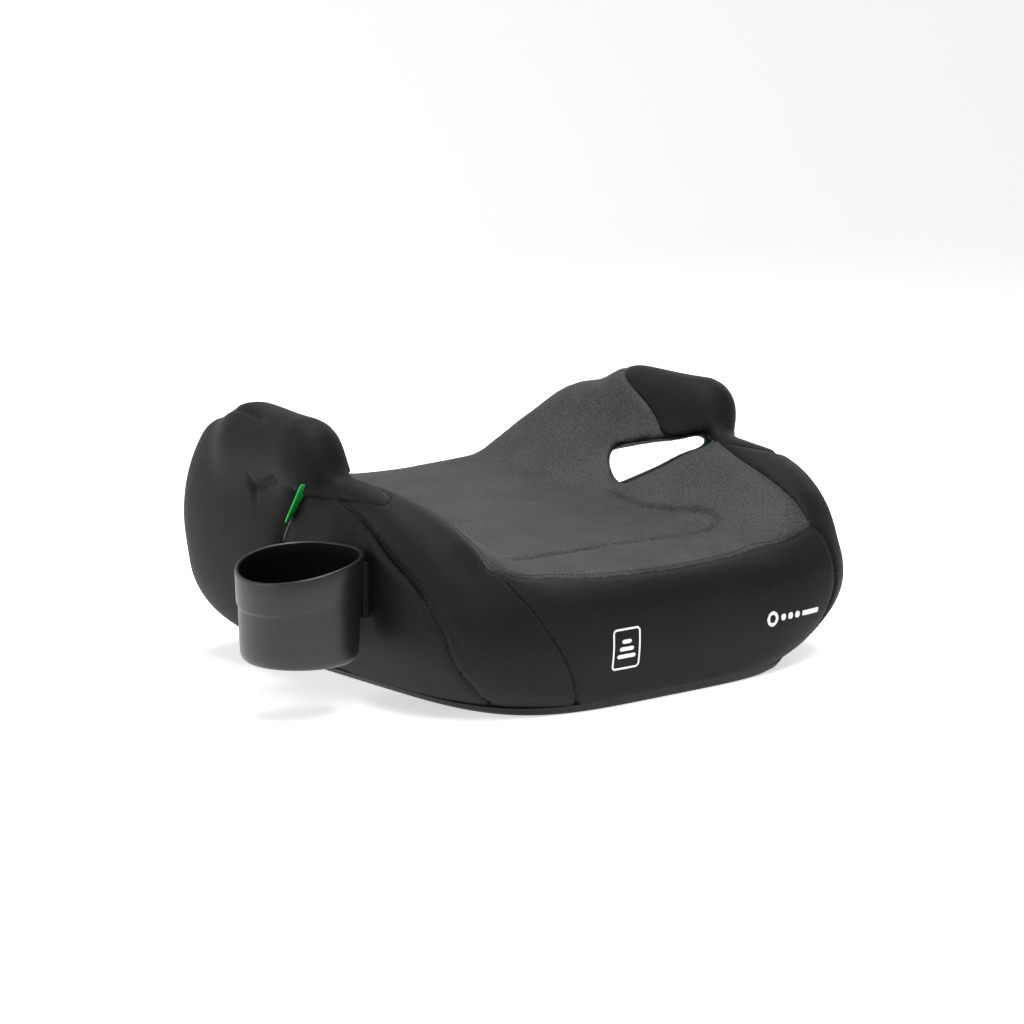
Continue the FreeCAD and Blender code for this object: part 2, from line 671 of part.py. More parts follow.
# ---------------------------------------------------------------- anchor latches
arm_low = dim.arm_height - dim.arm_depth / 2
arm_in = arm_x - dim.arm_width / 2
hook_y = arm_end - 28
hook_z = dim.arm_height + 8
jaw_z = dim.arm_height - dim.jaw_height / 2
TAIL = 10       # hook behind its pin, towards the button
for word, side in SIDES:
    def mirrored(inner, width):
        """Lowest x of a piece that starts at inner from the middle and is width wide."""
        return inner if side > 0 else -inner - width

    # guide rail: a channel open towards the middle, on two feet
    rail_in = arm_in - 2
    rail_width = dim.arm_width + 2 + dim.slide_gap + dim.rail_wall
    rail_low = arm_low - dim.slide_gap - dim.rail_wall
    rail_tall = dim.arm_depth + (dim.slide_gap + dim.rail_wall) * 2
    rail_block = block(word + "_rail_block", mirrored(rail_in, rail_width), rail_start, rail_low,
                       rail_width, dim.rail_length, rail_tall)
    space_width = rail_width - dim.rail_wall + 1
    space = block(word + "_rail_space", mirrored(rail_in - 1, space_width), rail_start - 1,
                  arm_low - dim.slide_gap, space_width, dim.rail_length + 2,
                      dim.arm_depth + dim.slide_gap * 2)
    feet = [block("%s_rail_foot_%d" % (word, i), mirrored(rail_in + 8, 16), rail_start + y, dim.tray_wall,
                  16, 14, rail_low - dim.tray_wall + 1) for i, y in enumerate((6, dim.rail_length - 30))]
    node(word + "_guide_rail", cut(word + "_guide_rail", fuse(word + "_rail_solid", rail_block, *feet),
        space))

    # latch arm: bar with a jaw at its rear end and a pocket for the hook
    bar = block(word + "_arm_bar", mirrored(arm_in, dim.arm_width), arm_start, arm_low,
                dim.arm_width, dim.arm_length, dim.arm_depth)
    jaw = block(word + "_arm_jaw", mirrored(arm_in - 1, dim.arm_width + 2), arm_end - dim.jaw_depth, jaw_z,
                dim.arm_width + 2, dim.jaw_depth + 1, dim.jaw_height)
    pocket_width = dim.hook_thick + dim.hook_play * 2
    pocket = block(word + "_arm_pocket", side * arm_x - pocket_width / 2, hook_y - TAIL - 6, jaw_z - 4,
                   pocket_width, arm_end - hook_y + TAIL + 7, dim.arm_depth)
    pin_start = arm_x - 11
    pin_hole = rod(word + "_arm_pin_hole", side * pin_start, hook_y, hook_z, dim.pin_radius + 0.02, 22,
                   Vector(side, 0, 0))
    button_slot = block(
        word + "_arm_button_slot", mirrored(arm_in - 1, 9), hook_y - 38 - dim.button_travel,
        dim.arm_height - dim.button_depth / 4 - 0.3, 9, dim.button_length / 2 + dim.button_travel + 0.6,
        dim.button_depth / 2 + 0.6)
    tools = fuse(word + "_arm_tools", jaw, pocket, pin_hole, button_slot)
    node(word + "_latch_arm", cut(word + "_latch_arm", bar, tools))
    node(word + "_hook_pin", rod(word + "_hook_pin", side * pin_start, hook_y, hook_z, dim.pin_radius, 22,
                                 Vector(side, 0, 0)))

    # hook plate with a tooth that closes the jaw
    hook = doc.addObject("PartDesign::Body", word + "_hook")
    back, tooth = 23.0, 6.0
    corners = [(-TAIL, -4), (back - tooth, -4), (back - tooth, -14), (back, -10), (back, 3),
        (back - 6, 6), (-TAIL, 6)]
    profile = outline(sketch_on(hook, word + "_hook_sketch", "YZ_Plane"), corners)
    padded(hook, profile, dim.hook_thick, symmetric=True)
    bore = sketch_on(hook, word + "_hook_bore_sketch", "YZ_Plane", -20)
    bore.addGeometry(Part.Circle(Vector(0, 0, 0), Vector(0, 0, 1), 2.5), False)
    bore.addConstraint(Sketcher.Constraint("Coincident", 0, 3, -1, 1))
    bore.addConstraint(Sketcher.Constraint("Radius", 0, 2.5))
    bore.setExpression("Constraints[1]", (dim.pin_radius + dim.pin_play).text)
    doc.recompute()
    pocket_cut = hook.newObject("PartDesign::Pocket", word + "_hook_bore")
    pocket_cut.Profile = bore
    pocket_cut.Type = "Length"
    pocket_cut.Length = 40
    pocket_cut.Reversed = True
    bind(hook, x=side * arm_x, y=hook_y, z=hook_z)
    node(word + "_latch_hook", hook)

    # release button on the arm's inner side
    cap = block(word + "_button_cap", mirrored(arm_in - 4.6, 4.4), hook_y - 38 - dim.button_length / 4,
                dim.arm_height - dim.button_depth / 2, 4.4, dim.button_length, dim.button_depth)
    stem = block(word + "_button_stem", mirrored(arm_in - 1, 6), hook_y - 38,
        dim.arm_height - dim.button_depth / 4,
                 6, dim.button_length / 2, dim.button_depth / 2)
    node(word + "_release_button", fuse(word + "_release_button", cap, stem))

tube_len = arm_in * 2
tube = rod("tube_outer", -arm_in, arm_start + dim.tube_radius + 4, dim.arm_height, dim.tube_radius,
    tube_len,
           Vector(1, 0, 0))
tube_bore = rod("tube_bore", -arm_in - 1, arm_start + dim.tube_radius + 4, dim.arm_height,
    dim.tube_radius - 1.5,
                tube_len + 2, Vector(1, 0, 0))
node("cross_tube", cut("cross_tube", tube, tube_bore))

# ---------------------------------------------------------------- cup holder and its bracket
bracket = block("bracket_block", bracket_x, cup_y - dim.bracket_width / 2, dim.bracket_base,
                bracket_deep, dim.bracket_width, dim.bracket_tall)
flange_x = bracket_x + 1.7
groove_play = dim.tongue_play
groove = block("bracket_groove", flange_x, cup_y - dim.tongue_width / 2 - groove_play,
    dim.bracket_base + dim.bracket_floor,
               dim.tongue_thick + groove_play * 2, dim.tongue_width + groove_play * 2, dim.bracket_tall)
throat = block("bracket_throat", bracket_x - 1, cup_y - dim.tongue_width / 4 - groove_play,
    dim.bracket_base + dim.bracket_floor,
               3, dim.tongue_width / 2 + groove_play * 2, dim.bracket_tall)
node("cup_bracket", cut("cup_bracket", bracket, fuse("bracket_cuts", groove, throat)))

cup_body = doc.addObject("PartDesign::Body", "cup_body")
wall_line = dim.cup_radius
round_off = 8
profile = outline(sketch_on(cup_body, "cup_profile", "XZ_Plane"), [
    (0, 0), (wall_line - round_off, 0), (wall_line - round_off * 0.3, round_off * 0.3),
        (wall_line, round_off),
    (wall_line, dim.cup_tall), (wall_line - dim.cup_wall, dim.cup_tall),
    (wall_line - dim.cup_wall, round_off), (wall_line - dim.cup_wall - round_off * 0.3,
        round_off * 0.3 + dim.cup_wall),
    (wall_line - dim.cup_wall - round_off, dim.cup_wall), (0, dim.cup_wall)])
doc.recompute()
turned = cup_body.newObject("PartDesign::Revolution", "cup_turned")
turned.Profile = profile
turned.ReferenceAxis = (profile, ["V_Axis"])
turned.Angle = 360
bind(cup_body, x=cup_x, y=cup_y, z=dim.cup_base)

cup_top = dim.cup_base + dim.cup_tall
band_outer = rod("band_outer", cup_x, cup_y, dim.cup_base + dim.cup_tall / 2, dim.cup_radius + dim.cup_step,
                 dim.cup_tall / 2)
band_inner = rod("band_inner", cup_x, cup_y, dim.cup_base, dim.cup_radius - dim.cup_wall / 2,
    dim.cup_tall + 5)
band_ring = cut("band_ring", band_outer, band_inner)
dip_start = cup_x - dim.cup_radius * 1.4
dip_long = dim.cup_radius * 1.7
high_band = block("band_high", cup_x - 100, cup_y - 100, cup_top - dim.cup_band, 200, 200, 60)
low_band = rod("band_low", dip_start, cup_y, cup_top - dim.cup_dip + dim.cup_dip_radius - dim.cup_band,
               dim.cup_dip_radius, dip_long, Vector(1, 0, 0))
band = common("band", band_ring, fuse("band_zone", high_band, low_band))
rim_dip = rod("rim_dip", dip_start, cup_y, cup_top - dim.cup_dip + dim.cup_dip_radius, dim.cup_dip_radius,
              dip_long, Vector(1, 0, 0))
tongue_z = dim.bracket_base + dim.bracket_floor + groove_play
tongue_tall = dim.bracket_tall - dim.bracket_floor - 3
tongue = block("cup_tongue", flange_x + groove_play, cup_y - dim.tongue_width / 2, tongue_z,
               dim.tongue_thick, dim.tongue_width, tongue_tall)
neck_x = cup_x + dim.cup_radius - 1.5
neck = block("cup_neck", neck_x, cup_y - dim.tongue_width / 4, tongue_z,
             flange_x + groove_play + 0.5 - neck_x, dim.tongue_width / 2, tongue_tall)
node("cup_holder", fuse("cup_holder", cut("cup_rimmed", fuse("cup_banded", cup_body, band), rim_dip),
    neck, tongue))

# ---------------------------------------------------------------- check and write
doc.recompute()
faults = [obj.Name for obj in doc.Objects if "Invalid" in obj.State or "Error" in obj.State]
for label, obj in nodes.items():
    if obj.Shape.isNull() or not obj.Shape.isValid() or not obj.Shape.Solids:
        faults.append(label)
if faults:
    raise RuntimeError("these objects failed: " + ", ".join(faults))

os.makedirs("parts", exist_ok=True)
for label, obj in nodes.items():
    obj.Shape.exportStep("parts/%s.step" % label)
    box = obj.Shape.BoundBox
    print("%-22s %2d solid(s) %9.1f cm3  x %.1f..%.1f  y %.1f..%.1f  z %.1f..%.1f" % (
        label, len(obj.Shape.Solids), obj.Shape.Volume / 1000, box.XMin, box.XMax, box.YMin, box.YMax,
        box.ZMin, box.ZMax))
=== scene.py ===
"""Visual model of a padded booster seat with arm horns, belt slots and a clip-on cup holder."""

import json
import logging
import math
from dataclasses import dataclass, field
from enum import Enum
from itertools import product
from typing import Callable, Optional, Sequence

import bmesh
import bpy
import numpy as np
from bpy.types import ID, Material, Mesh, Node, NodeSocket, NodeTree, Object
from mathutils import Matrix, Vector
from mathutils.bvhtree import BVHTree
from mathutils.kdtree import KDTree

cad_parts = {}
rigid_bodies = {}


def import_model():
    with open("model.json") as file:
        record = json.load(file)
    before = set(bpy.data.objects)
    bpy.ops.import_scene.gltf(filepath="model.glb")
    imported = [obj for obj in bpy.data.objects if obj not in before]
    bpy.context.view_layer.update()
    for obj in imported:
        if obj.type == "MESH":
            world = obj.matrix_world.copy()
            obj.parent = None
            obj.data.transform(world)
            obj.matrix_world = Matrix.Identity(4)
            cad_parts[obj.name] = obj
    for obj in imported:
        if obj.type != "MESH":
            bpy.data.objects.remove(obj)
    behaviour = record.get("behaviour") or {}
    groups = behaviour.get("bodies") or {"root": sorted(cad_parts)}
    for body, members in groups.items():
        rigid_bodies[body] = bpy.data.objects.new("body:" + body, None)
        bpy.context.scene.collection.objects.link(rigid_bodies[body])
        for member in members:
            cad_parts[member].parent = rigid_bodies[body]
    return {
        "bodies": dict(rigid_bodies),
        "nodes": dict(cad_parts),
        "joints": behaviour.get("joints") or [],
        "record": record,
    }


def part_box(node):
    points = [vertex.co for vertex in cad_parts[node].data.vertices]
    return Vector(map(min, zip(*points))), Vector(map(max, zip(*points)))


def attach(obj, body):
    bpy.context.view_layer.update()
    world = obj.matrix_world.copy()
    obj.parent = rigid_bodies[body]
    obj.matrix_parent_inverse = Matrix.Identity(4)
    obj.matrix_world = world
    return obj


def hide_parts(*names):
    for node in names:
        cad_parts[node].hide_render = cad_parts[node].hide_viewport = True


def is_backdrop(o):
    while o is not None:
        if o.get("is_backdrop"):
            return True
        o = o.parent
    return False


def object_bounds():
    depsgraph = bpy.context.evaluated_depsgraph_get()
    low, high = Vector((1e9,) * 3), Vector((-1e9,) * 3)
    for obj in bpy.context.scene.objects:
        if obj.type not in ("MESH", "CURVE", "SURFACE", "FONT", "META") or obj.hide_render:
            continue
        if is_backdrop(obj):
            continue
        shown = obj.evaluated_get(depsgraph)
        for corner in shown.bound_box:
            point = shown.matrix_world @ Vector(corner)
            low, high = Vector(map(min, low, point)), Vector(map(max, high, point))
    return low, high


LOG = logging.getLogger("booster")
Array = np.ndarray
MM = 0.001
POLYMER_IOR = 1.49
FORM_BOX = (np.array([-240.0, -216.0, -8.0]),
    np.array([240.0, 216.0, 226.0]))  # room round the padding, in mm


# ---------------------------------------------------------------- numbers and curves


def smooth_min(a: Array, b: Array, blend: float) -> Array:
    """Return the smaller of two fields, rounded over a blend width in mm."""
    share = np.clip(0.5 + 0.5 * (b - a) / blend, 0, 1)
    return b * (1 - share) + a * share - blend * share * (1 - share)


def smooth_max(a: Array, b: Array, blend: float) -> Array:
    """Return the larger of two fields, rounded over a blend width in mm."""
    return -smooth_min(-a, -b, blend)


def ease(t: Array) -> Array:
    """Return a smooth step from 0 to 1 for t between 0 and 1."""
    t = np.clip(t, 0, 1)
    return t * t * (3 - 2 * t)


def through(x: Array, knots: Sequence[float], values: Sequence[float]) -> Array:
    """Follow a smooth curve through given points without overshooting them.

    Args:
        x: where the curve is read.
        knots: rising places of the points.
        values: the curve's value at each point.

    Returns:
        The curve's values at x, held flat beyond the first and last points.
    """
    k, v = np.array(knots, float), np.array(values, float)
    run, slope = np.diff(k), np.diff(v) / np.diff(k)
    lean = np.zeros(len(k))
    same = slope[1:] * slope[:-1] > 0
    lean[1:-1] = np.where(same, 2 * slope[1:] * slope[:-1] / (slope[1:] + slope[:-1] + 1e-12), 0)
    lean[0], lean[-1] = slope[0], slope[-1]
    x = np.clip(x, k[0], k[-1])
    i = np.clip(np.searchsorted(k, x) - 1, 0, len(k) - 2)
    t = (x - k[i]) / run[i]
    return (
        (2 * t**3 - 3 * t**2 + 1) * v[i]
        + (t**3 - 2 * t**2 + t) * run[i] * lean[i]
        + (-2 * t**3 + 3 * t**2) * v[i + 1]
        + (t**3 - t**2) * run[i] * lean[i + 1]
    )


def surface_net(values: Array, low: Array, step: float) -> tuple[Array, Array]:
    """Mesh the zero surface of a field sampled on a grid, one point per crossed cell.

    Args:
        values: the field, negative inside, on a regular grid.
        low: the grid's lowest corner in mm.
        step: the grid's spacing in mm.

    Returns:
        Points in mm and four-cornered faces that point outwards.
    """
    inside = values < 0
    nx, ny, nz = values.shape
    count = np.zeros((nx - 1, ny - 1, nz - 1), np.uint8)
    for dx, dy, dz in product((0, 1), repeat=3):
        count += inside[dx : nx - 1 + dx, dy : ny - 1 + dy, dz : nz - 1 + dz]
    crossed = (count > 0) & (count < 8)
    index = -np.ones(count.shape, np.int64)
    index[crossed] = np.arange(int(crossed.sum()))
    cells = np.stack(np.nonzero(crossed), 1)
    total, hits = np.zeros((len(cells), 3)), np.zeros(len(cells))
    for corner in product((0, 1), repeat=3):
        for axis in range(3):
            if corner[axis]:
                continue
            other = np.array(corner)
            other[axis] = 1
            a = values[tuple((cells + corner).T)]
            b = values[tuple((cells + other).T)]
            cut = (a < 0) != (b < 0)
            t = np.where(cut, a / np.where(a == b, 1, a - b), 0)
            total[cut] += (np.array(corner, float) + t[:, None] * (other - np.array(corner)))[cut]
            hits[cut] += 1
    points = (total / hits[:, None] + cells) * step + low
    faces = []
    for axis, (second, third) in enumerate(((1, 2), (2, 0), (0, 1))):
        here, there = [slice(None)] * 3, [slice(None)] * 3
        here[axis], there[axis] = slice(0, -1), slice(1, None)
        edge = np.stack(np.nonzero(inside[tuple(here)] != inside[tuple(there)]), 1)
        kept = (edge[:, second] > 0) & (edge[:, third] > 0)
        kept &= (edge[:, second] < values.shape[second] - 1) & (edge[:, third] < values.shape[third] - 1)
        edge = edge[kept]
        ring = []
        for d2, d3 in ((-1, -1), (0, -1), (0, 0), (-1, 0)):
            cell = edge.copy()
            cell[:, second] += d2
            cell[:, third] += d3
            ring.append(index[tuple(cell.T)])
        quad = np.stack(ring, 1)
        out = inside[tuple(edge.T)]
        quad[~out] = quad[~out][:, ::-1]
        faces.append(quad)
    return points, np.concatenate(faces)


def grid(low: Array, high: Array, step: float) -> tuple[Array, Array, Array]:
    """Return the x, y and z of every point of a regular grid in mm."""
    return np.meshgrid(*(np.arange(low[i], high[i] + step, step) for i in range(3)), indexing="ij")


# ---------------------------------------------------------------- mesh helpers


def placed(name: str, data: ID) -> Object:
    """Put a mesh, lamp or camera in the scene as an object at the origin."""
    piece = bpy.data.objects.new(name, data)
    bpy.context.scene.collection.objects.link(piece)
    return piece


def new_object(name: str, points: Array, faces: Sequence,
        finish: Optional[Material]) -> Object:
    """Make a smooth-shaded mesh object from points in mm.

    Args:
        name: the piece's name.
        points: corners in mm.
        faces: lists of corner numbers.
        finish: the material, or None.

    Returns:
        The object, at the origin, with its place in its mesh.
    """
    mesh = bpy.data.meshes.new(name)
    mesh.from_pydata((np.asarray(points, float) * MM).tolist(), [], [list(map(int, f)) for f in faces])
    mesh.update()
    mesh.polygons.foreach_set("use_smooth", np.ones(len(mesh.polygons), bool))
    if finish is not None:
        mesh.materials.append(finish)
    return placed(name, mesh)


def settled(piece: Object) -> Object:
    """Apply every modifier of a piece and return the piece."""
    evaluated = piece.evaluated_get(bpy.context.evaluated_depsgraph_get())
    mesh = bpy.data.meshes.new_from_object(evaluated)
    piece.modifiers.clear()
    piece.data = mesh
    return piece


def joined(piece: Object, body: str, node: Optional[str] = None) -> Object:
    """Put a piece on its body, in place of a node if it has one."""
    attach(piece, body)
    if node is not None:
        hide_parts(node)
    return piece


def points_of(mesh: Mesh) -> Array:
    """Return a mesh's points in mm."""
    flat = np.zeros(len(mesh.vertices) * 3)
    mesh.vertices.foreach_get("co", flat)
    return flat.reshape(-1, 3) / MM


def normals_of(points: Array, triangles: Array) -> Array:
    """Return the outward direction at each point of a triangle mesh."""
    a, b, c = (points[triangles[:, i]] for i in range(3))
    face = np.cross(b - a, c - a)
    total = np.zeros_like(points)
    for i in range(3):
        np.add.at(total, triangles[:, i], face)
    return total / (np.linalg.norm(total, axis=1, keepdims=True) + 1e-12)


def nearest(points: Array, marks: Array) -> tuple[Array, Array]:
    """Find each point's nearest mark.

    Args:
        points: places in mm.
        marks: places in mm.

    Returns:
        The distance in mm and the number of the nearest mark, for each point.
    """
    tree = KDTree(len(marks))
    for i, mark in enumerate(marks):
        tree.insert(mark, i)
    tree.balance()
    found = [tree.find(point) for point in points]
    return np.array([f[2] for f in found]), np.array([f[1] for f in found])


def dense(path: Sequence[Sequence[float]], step: float = 1.5) -> Array:
    """Return points every step along a smooth curve through a path's points, in mm."""
    p = np.array(path, float)
    run = np.concatenate([[0], np.cumsum(np.linalg.norm(np.diff(p, axis=0), axis=1))])
    at = np.arange(0, run[-1], step)
    return np.stack([through(at, run, p[:, i]) for i in range(3)], 1)


# ---------------------------------------------------------------- materials


def linear(colour: str) -> tuple[float, float, float, float]:
    """Turn an sRGB hex colour into the linear colour that a shader takes."""
    parts = [int(colour[i : i + 2], 16) / 255 for i in (1, 3, 5)]
    r, g, b = (c / 12.92 if c <= 0.04045 else ((c + 0.055) / 1.055) ** 2.4 for c in parts)
    return r, g, b, 1.0


def add_node(
    tree: NodeTree, kind: str, settings: Optional[dict] = None, links: Optional[dict] = None,
        **attributes: object
) -> Node:
    """Add a node with its settings and links.

    Args:
        tree: the node tree.
        kind: the node's type.
        settings: values by input name or number.
        links: sockets by input name or number.
        attributes: the node's own settings.

    Returns:
        The new node.
    """
    node = tree.nodes.new(kind)
    for key, value in attributes.items():
        setattr(node, key, value)
    for key, value in (settings or {}).items():
        node.inputs[key].default_value = value
    for key, socket in (links or {}).items():
        tree.links.new(socket, node.inputs[key])
    return node


def remap(tree: NodeTree, value: NodeSocket, **ends: float) -> NodeSocket:
    """Return a value mapped between the ends From_Min, From_Max, To_Min and To_Max."""
    settings = {name.replace("_", " "): end for name, end in ends.items()}
    return add_node(tree, "ShaderNodeMapRange", settings, {"Value": value}).outputs["Result"]


def noise(tree: NodeTree, place: NodeSocket, scale: float,
        detail: float) -> NodeSocket:
    """Return a noise's value at a place, with its scale per metre."""
    node = add_node(tree, "ShaderNodeTexNoise", {"Scale": scale, "Detail": detail}, {"Vector": place})
    return node.outputs["Fac"]


def two_tone(tree: NodeTree, share: NodeSocket, first: tuple,
        second: tuple) -> NodeSocket:
    """Return a colour between two linear colours."""
    return add_node(tree, "ShaderNodeMix", {6: first, 7: second}, {0: share}, data_type="RGBA").outputs[2]


def emboss(tree: NodeTree, height: NodeSocket, strength: float,
        distance: float) -> None:
    """Raise the material's surface by a height, over a distance in metres."""
    bump = add_node(tree, "ShaderNodeBump", {"Strength": strength, "Distance": distance},
        {"Height": height})
    tree.links.new(bump.outputs["Normal"], tree.nodes["Principled BSDF"].inputs["Normal"])


def empty_material(name: str) -> tuple[Material, NodeTree, Node]:
    """Return a new material, its tree and its cleared surface shader."""
    material = bpy.data.materials.new(name)
    material.use_nodes = True
    tree = material.node_tree
    tree.nodes.clear()
    shader = add_node(tree, "ShaderNodeBsdfPrincipled")
    add_node(tree, "ShaderNodeOutputMaterial", links={"Surface": shader.outputs["BSDF"]})
    return material, tree, shader


@dataclass(frozen=True)
class KnittedPolyester:
    """A knitted polyester face laminated to thin foam.

    The eye sees short mixed light and dark fibres as fine speckle, faint knit ribs, and a
    soft satin light where the fabric turns towards a lamp. The fibres are 1 mm and the ribs
    1.7 mm apart, about twice as coarse as the real knit, so that they show.
    """

    name: str
    dark: str
    light: str
    speckle: float
    sheen: float
    rough: float = 0.62
    shine: float = 0.14
    fibre_mm: float = 1.0
    rib_mm: float = 1.7

    def material(self) -> Material:
        """Build the fabric's material."""
        material, tree, shader = empty_material(self.name)
        place = add_node(tree, "ShaderNodeTexCoord").outputs["Object"]
        fine = add_node(
            tree, "ShaderNodeTexNoise", {"Scale": 1000 / self.fibre_mm, "Detail": 3.0, "Roughness": 0.75},
                {"Vector": place}
        )
        weight = remap(tree, fine.outputs["Fac"], From_Min=0.5 - self.speckle, From_Max=0.5 + self.speckle)
        drift = remap(tree, noise(tree, place, 28.0, 2.0), From_Min=0.3, From_Max=0.7, To_Min=-0.08,
            To_Max=0.08)
        mixed = add_node(tree, "ShaderNodeMath", links={0: weight, 1: drift}, operation="ADD",
            use_clamp=True)
        colour = two_tone(tree, mixed.outputs[0], linear(self.dark), linear(self.light))
        tree.links.new(colour, shader.inputs["Base Color"])
        rib = add_node(
            tree,
            "ShaderNodeTexWave",
            {"Scale": 1000 / self.rib_mm / 6.28 * 2, "Distortion": 1.2, "Detail": 1.0, "Detail Scale": 3.0},
            {"Vector": place},
            bands_direction="DIAGONAL",
        )
        relief = add_node(tree, "ShaderNodeMath", {1: 0.25}, {0: rib.outputs["Fac"]}, operation="MULTIPLY")
        height = add_node(tree, "ShaderNodeMath", links={0: relief.outputs[0], 1: fine.outputs["Fac"]},
            operation="ADD")
        emboss(tree, height.outputs[0], 0.35, 0.0004)
        shader.inputs["Roughness"].default_value = self.rough
        shader.inputs["Specular IOR Level"].default_value = self.shine
        shader.inputs["Sheen Weight"].default_value = self.sheen
        shader.inputs["Sheen Roughness"].default_value = 0.45
        shader.inputs["Sheen Tint"].default_value = (0.85, 0.87, 0.9, 1.0)
        return material


@dataclass(frozen=True)
class MouldedPlastic:
    """Injection moulded polypropylene from a spark-eroded tool.

    The eye sees an even satin colour, a very fine leathery grain of about 0.4 mm, drawn at
    0.8 mm, and slightly shinier patches where hands and straps rub it.
    """

    name: str
    colour: str
    rough: float
    grain_mm: float = 0.8
    relief: float = 0.12
    rub: float = 0.08
    shine: float = 0.5

    def material(self) -> Material:
        """Build the plastic's material."""
        material, tree, shader = empty_material(self.name)
        place = add_node(tree, "ShaderNodeTexCoord").outputs["Object"]
        grain = noise(tree, place, 1000 / self.grain_mm, 2.0)
        shiny, dull = self.rough - self.rub, self.rough + self.rub / 2
        gloss = remap(tree, noise(tree, place, 18.0, 3.0), From_Min=0.35, From_Max=0.7, To_Min=dull,
            To_Max=shiny)
        r, g, b, _ = linear(self.colour)
        pale = (min(r * 1.1, 1), min(g * 1.1, 1), min(b * 1.1, 1), 1)
        tint = two_tone(tree, grain, (r * 0.92, g * 0.92, b * 0.92, 1), pale)
        tree.links.new(tint, shader.inputs["Base Color"])
        tree.links.new(gloss, shader.inputs["Roughness"])
        emboss(tree, grain, self.relief, 0.0003)
        shader.inputs["IOR"].default_value = POLYMER_IOR
        shader.inputs["Specular IOR Level"].default_value = self.shine
        return material


@dataclass(frozen=True)
class PlatedSteel:
    """Cold-formed steel with bright zinc plating.

    The eye sees cool grey metal with faint drawing lines and cloudy changes of gloss.
    """

    name: str
    colour: str = "#a9adb2"
    rough: float = 0.34

    def material(self) -> Material:
        """Build the metal's material."""
        material, tree, shader = empty_material(self.name)
        place = add_node(tree, "ShaderNodeTexCoord").outputs["Object"]
        stretched = add_node(tree, "ShaderNodeMapping", {"Scale": (400.0, 25.0, 400.0)}, {"Vector": place})
        cloud = noise(tree, place, 60.0, 2.0)
        gloss = remap(tree, cloud, To_Min=self.rough - 0.1, To_Max=self.rough + 0.12)
        tree.links.new(gloss, shader.inputs["Roughness"])
        emboss(tree, noise(tree, stretched.outputs["Vector"], 3.0, 3.0), 0.08, 0.0002)
        shader.inputs["Base Color"].default_value = linear(self.colour)
        shader.inputs["Metallic"].default_value = 1.0
        return material


@dataclass(frozen=True)
class FoamedPolyurethane:
    """Moulded open-cell polyurethane foam.

    The eye sees a dull surface full of pinholes 1 to 3 mm across.
    """

    name: str
    colour: str = "#4b4a47"

    def material(self) -> Material:
        """Build the foam's material."""
        material, tree, shader = empty_material(self.name)
        place = add_node(tree, "ShaderNodeTexCoord").outputs["Object"]
        cells = add_node(tree, "ShaderNodeTexVoronoi", {"Scale": 500.0}, {"Vector": place})
        emboss(tree, cells.outputs["Distance"], 0.5, 0.001)
        shader.inputs["Base Color"].default_value = linear(self.colour)
        shader.inputs["Roughness"].default_value = 0.95
        return material


class Palette:
    """Every finish of the seat, built once."""

    def __init__(self) -> None:
        """Build the materials."""
        self.melange = KnittedPolyester("grey_melange_knit", "#151516", "#4e4e4f", 0.17, 0.02).material()
        self.black_knit = KnittedPolyester("black_knit", "#050506", "#1a1a1b", 0.17, 0.01).material()
        self.elastic = KnittedPolyester("woven_elastic", "#151516", "#2c2c2e", 0.3, 0.1,
            rib_mm=1.2).material()
        self.thread_grey = MouldedPlastic("grey_thread", "#39393b", 0.7).material()
        self.thread_black = MouldedPlastic("black_thread", "#0f0f10", 0.7).material()
        self.cup = MouldedPlastic("satin_grey_polypropylene", "#101011", 0.42, rub=0.06).material()
        # The cup's own plastic made near black and less shiny: painted shade for the deep inside of the
        # cup.
        self.cup_inside_painted_shade = MouldedPlastic("polypropylene_painted_shade_inside", "#030303", 0.7, shine=0.06).material()
        self.shell = MouldedPlastic("black_grained_polypropylene", "#1b1b1d", 0.55, relief=0.3).material()
        self.tray = MouldedPlastic("charcoal_grained_polypropylene", "#222224", 0.52, relief=0.3).material()
        self.latch = MouldedPlastic("black_glass_filled_nylon", "#17181a", 0.48).material()
        self.green = MouldedPlastic("green_acetal", "#1fae4b", 0.36).material()
        self.button = MouldedPlastic("red_acetal", "#b32621", 0.34).material()
        self.rubber = MouldedPlastic("black_thermoplastic_rubber", "#121213", 0.86, relief=0.35).material()
        self.steel = PlatedSteel("zinc_plated_steel").material()
        self.screw = PlatedSteel("blackened_steel_screw", "#3b3c3f", 0.42).material()
        self.foam = FoamedPolyurethane("moulded_polyurethane_foam").material()
        self.print = MouldedPlastic("white_transfer_print", "#e4e4e2", 0.6, relief=0.25).material()


# ---------------------------------------------------------------- the padded form


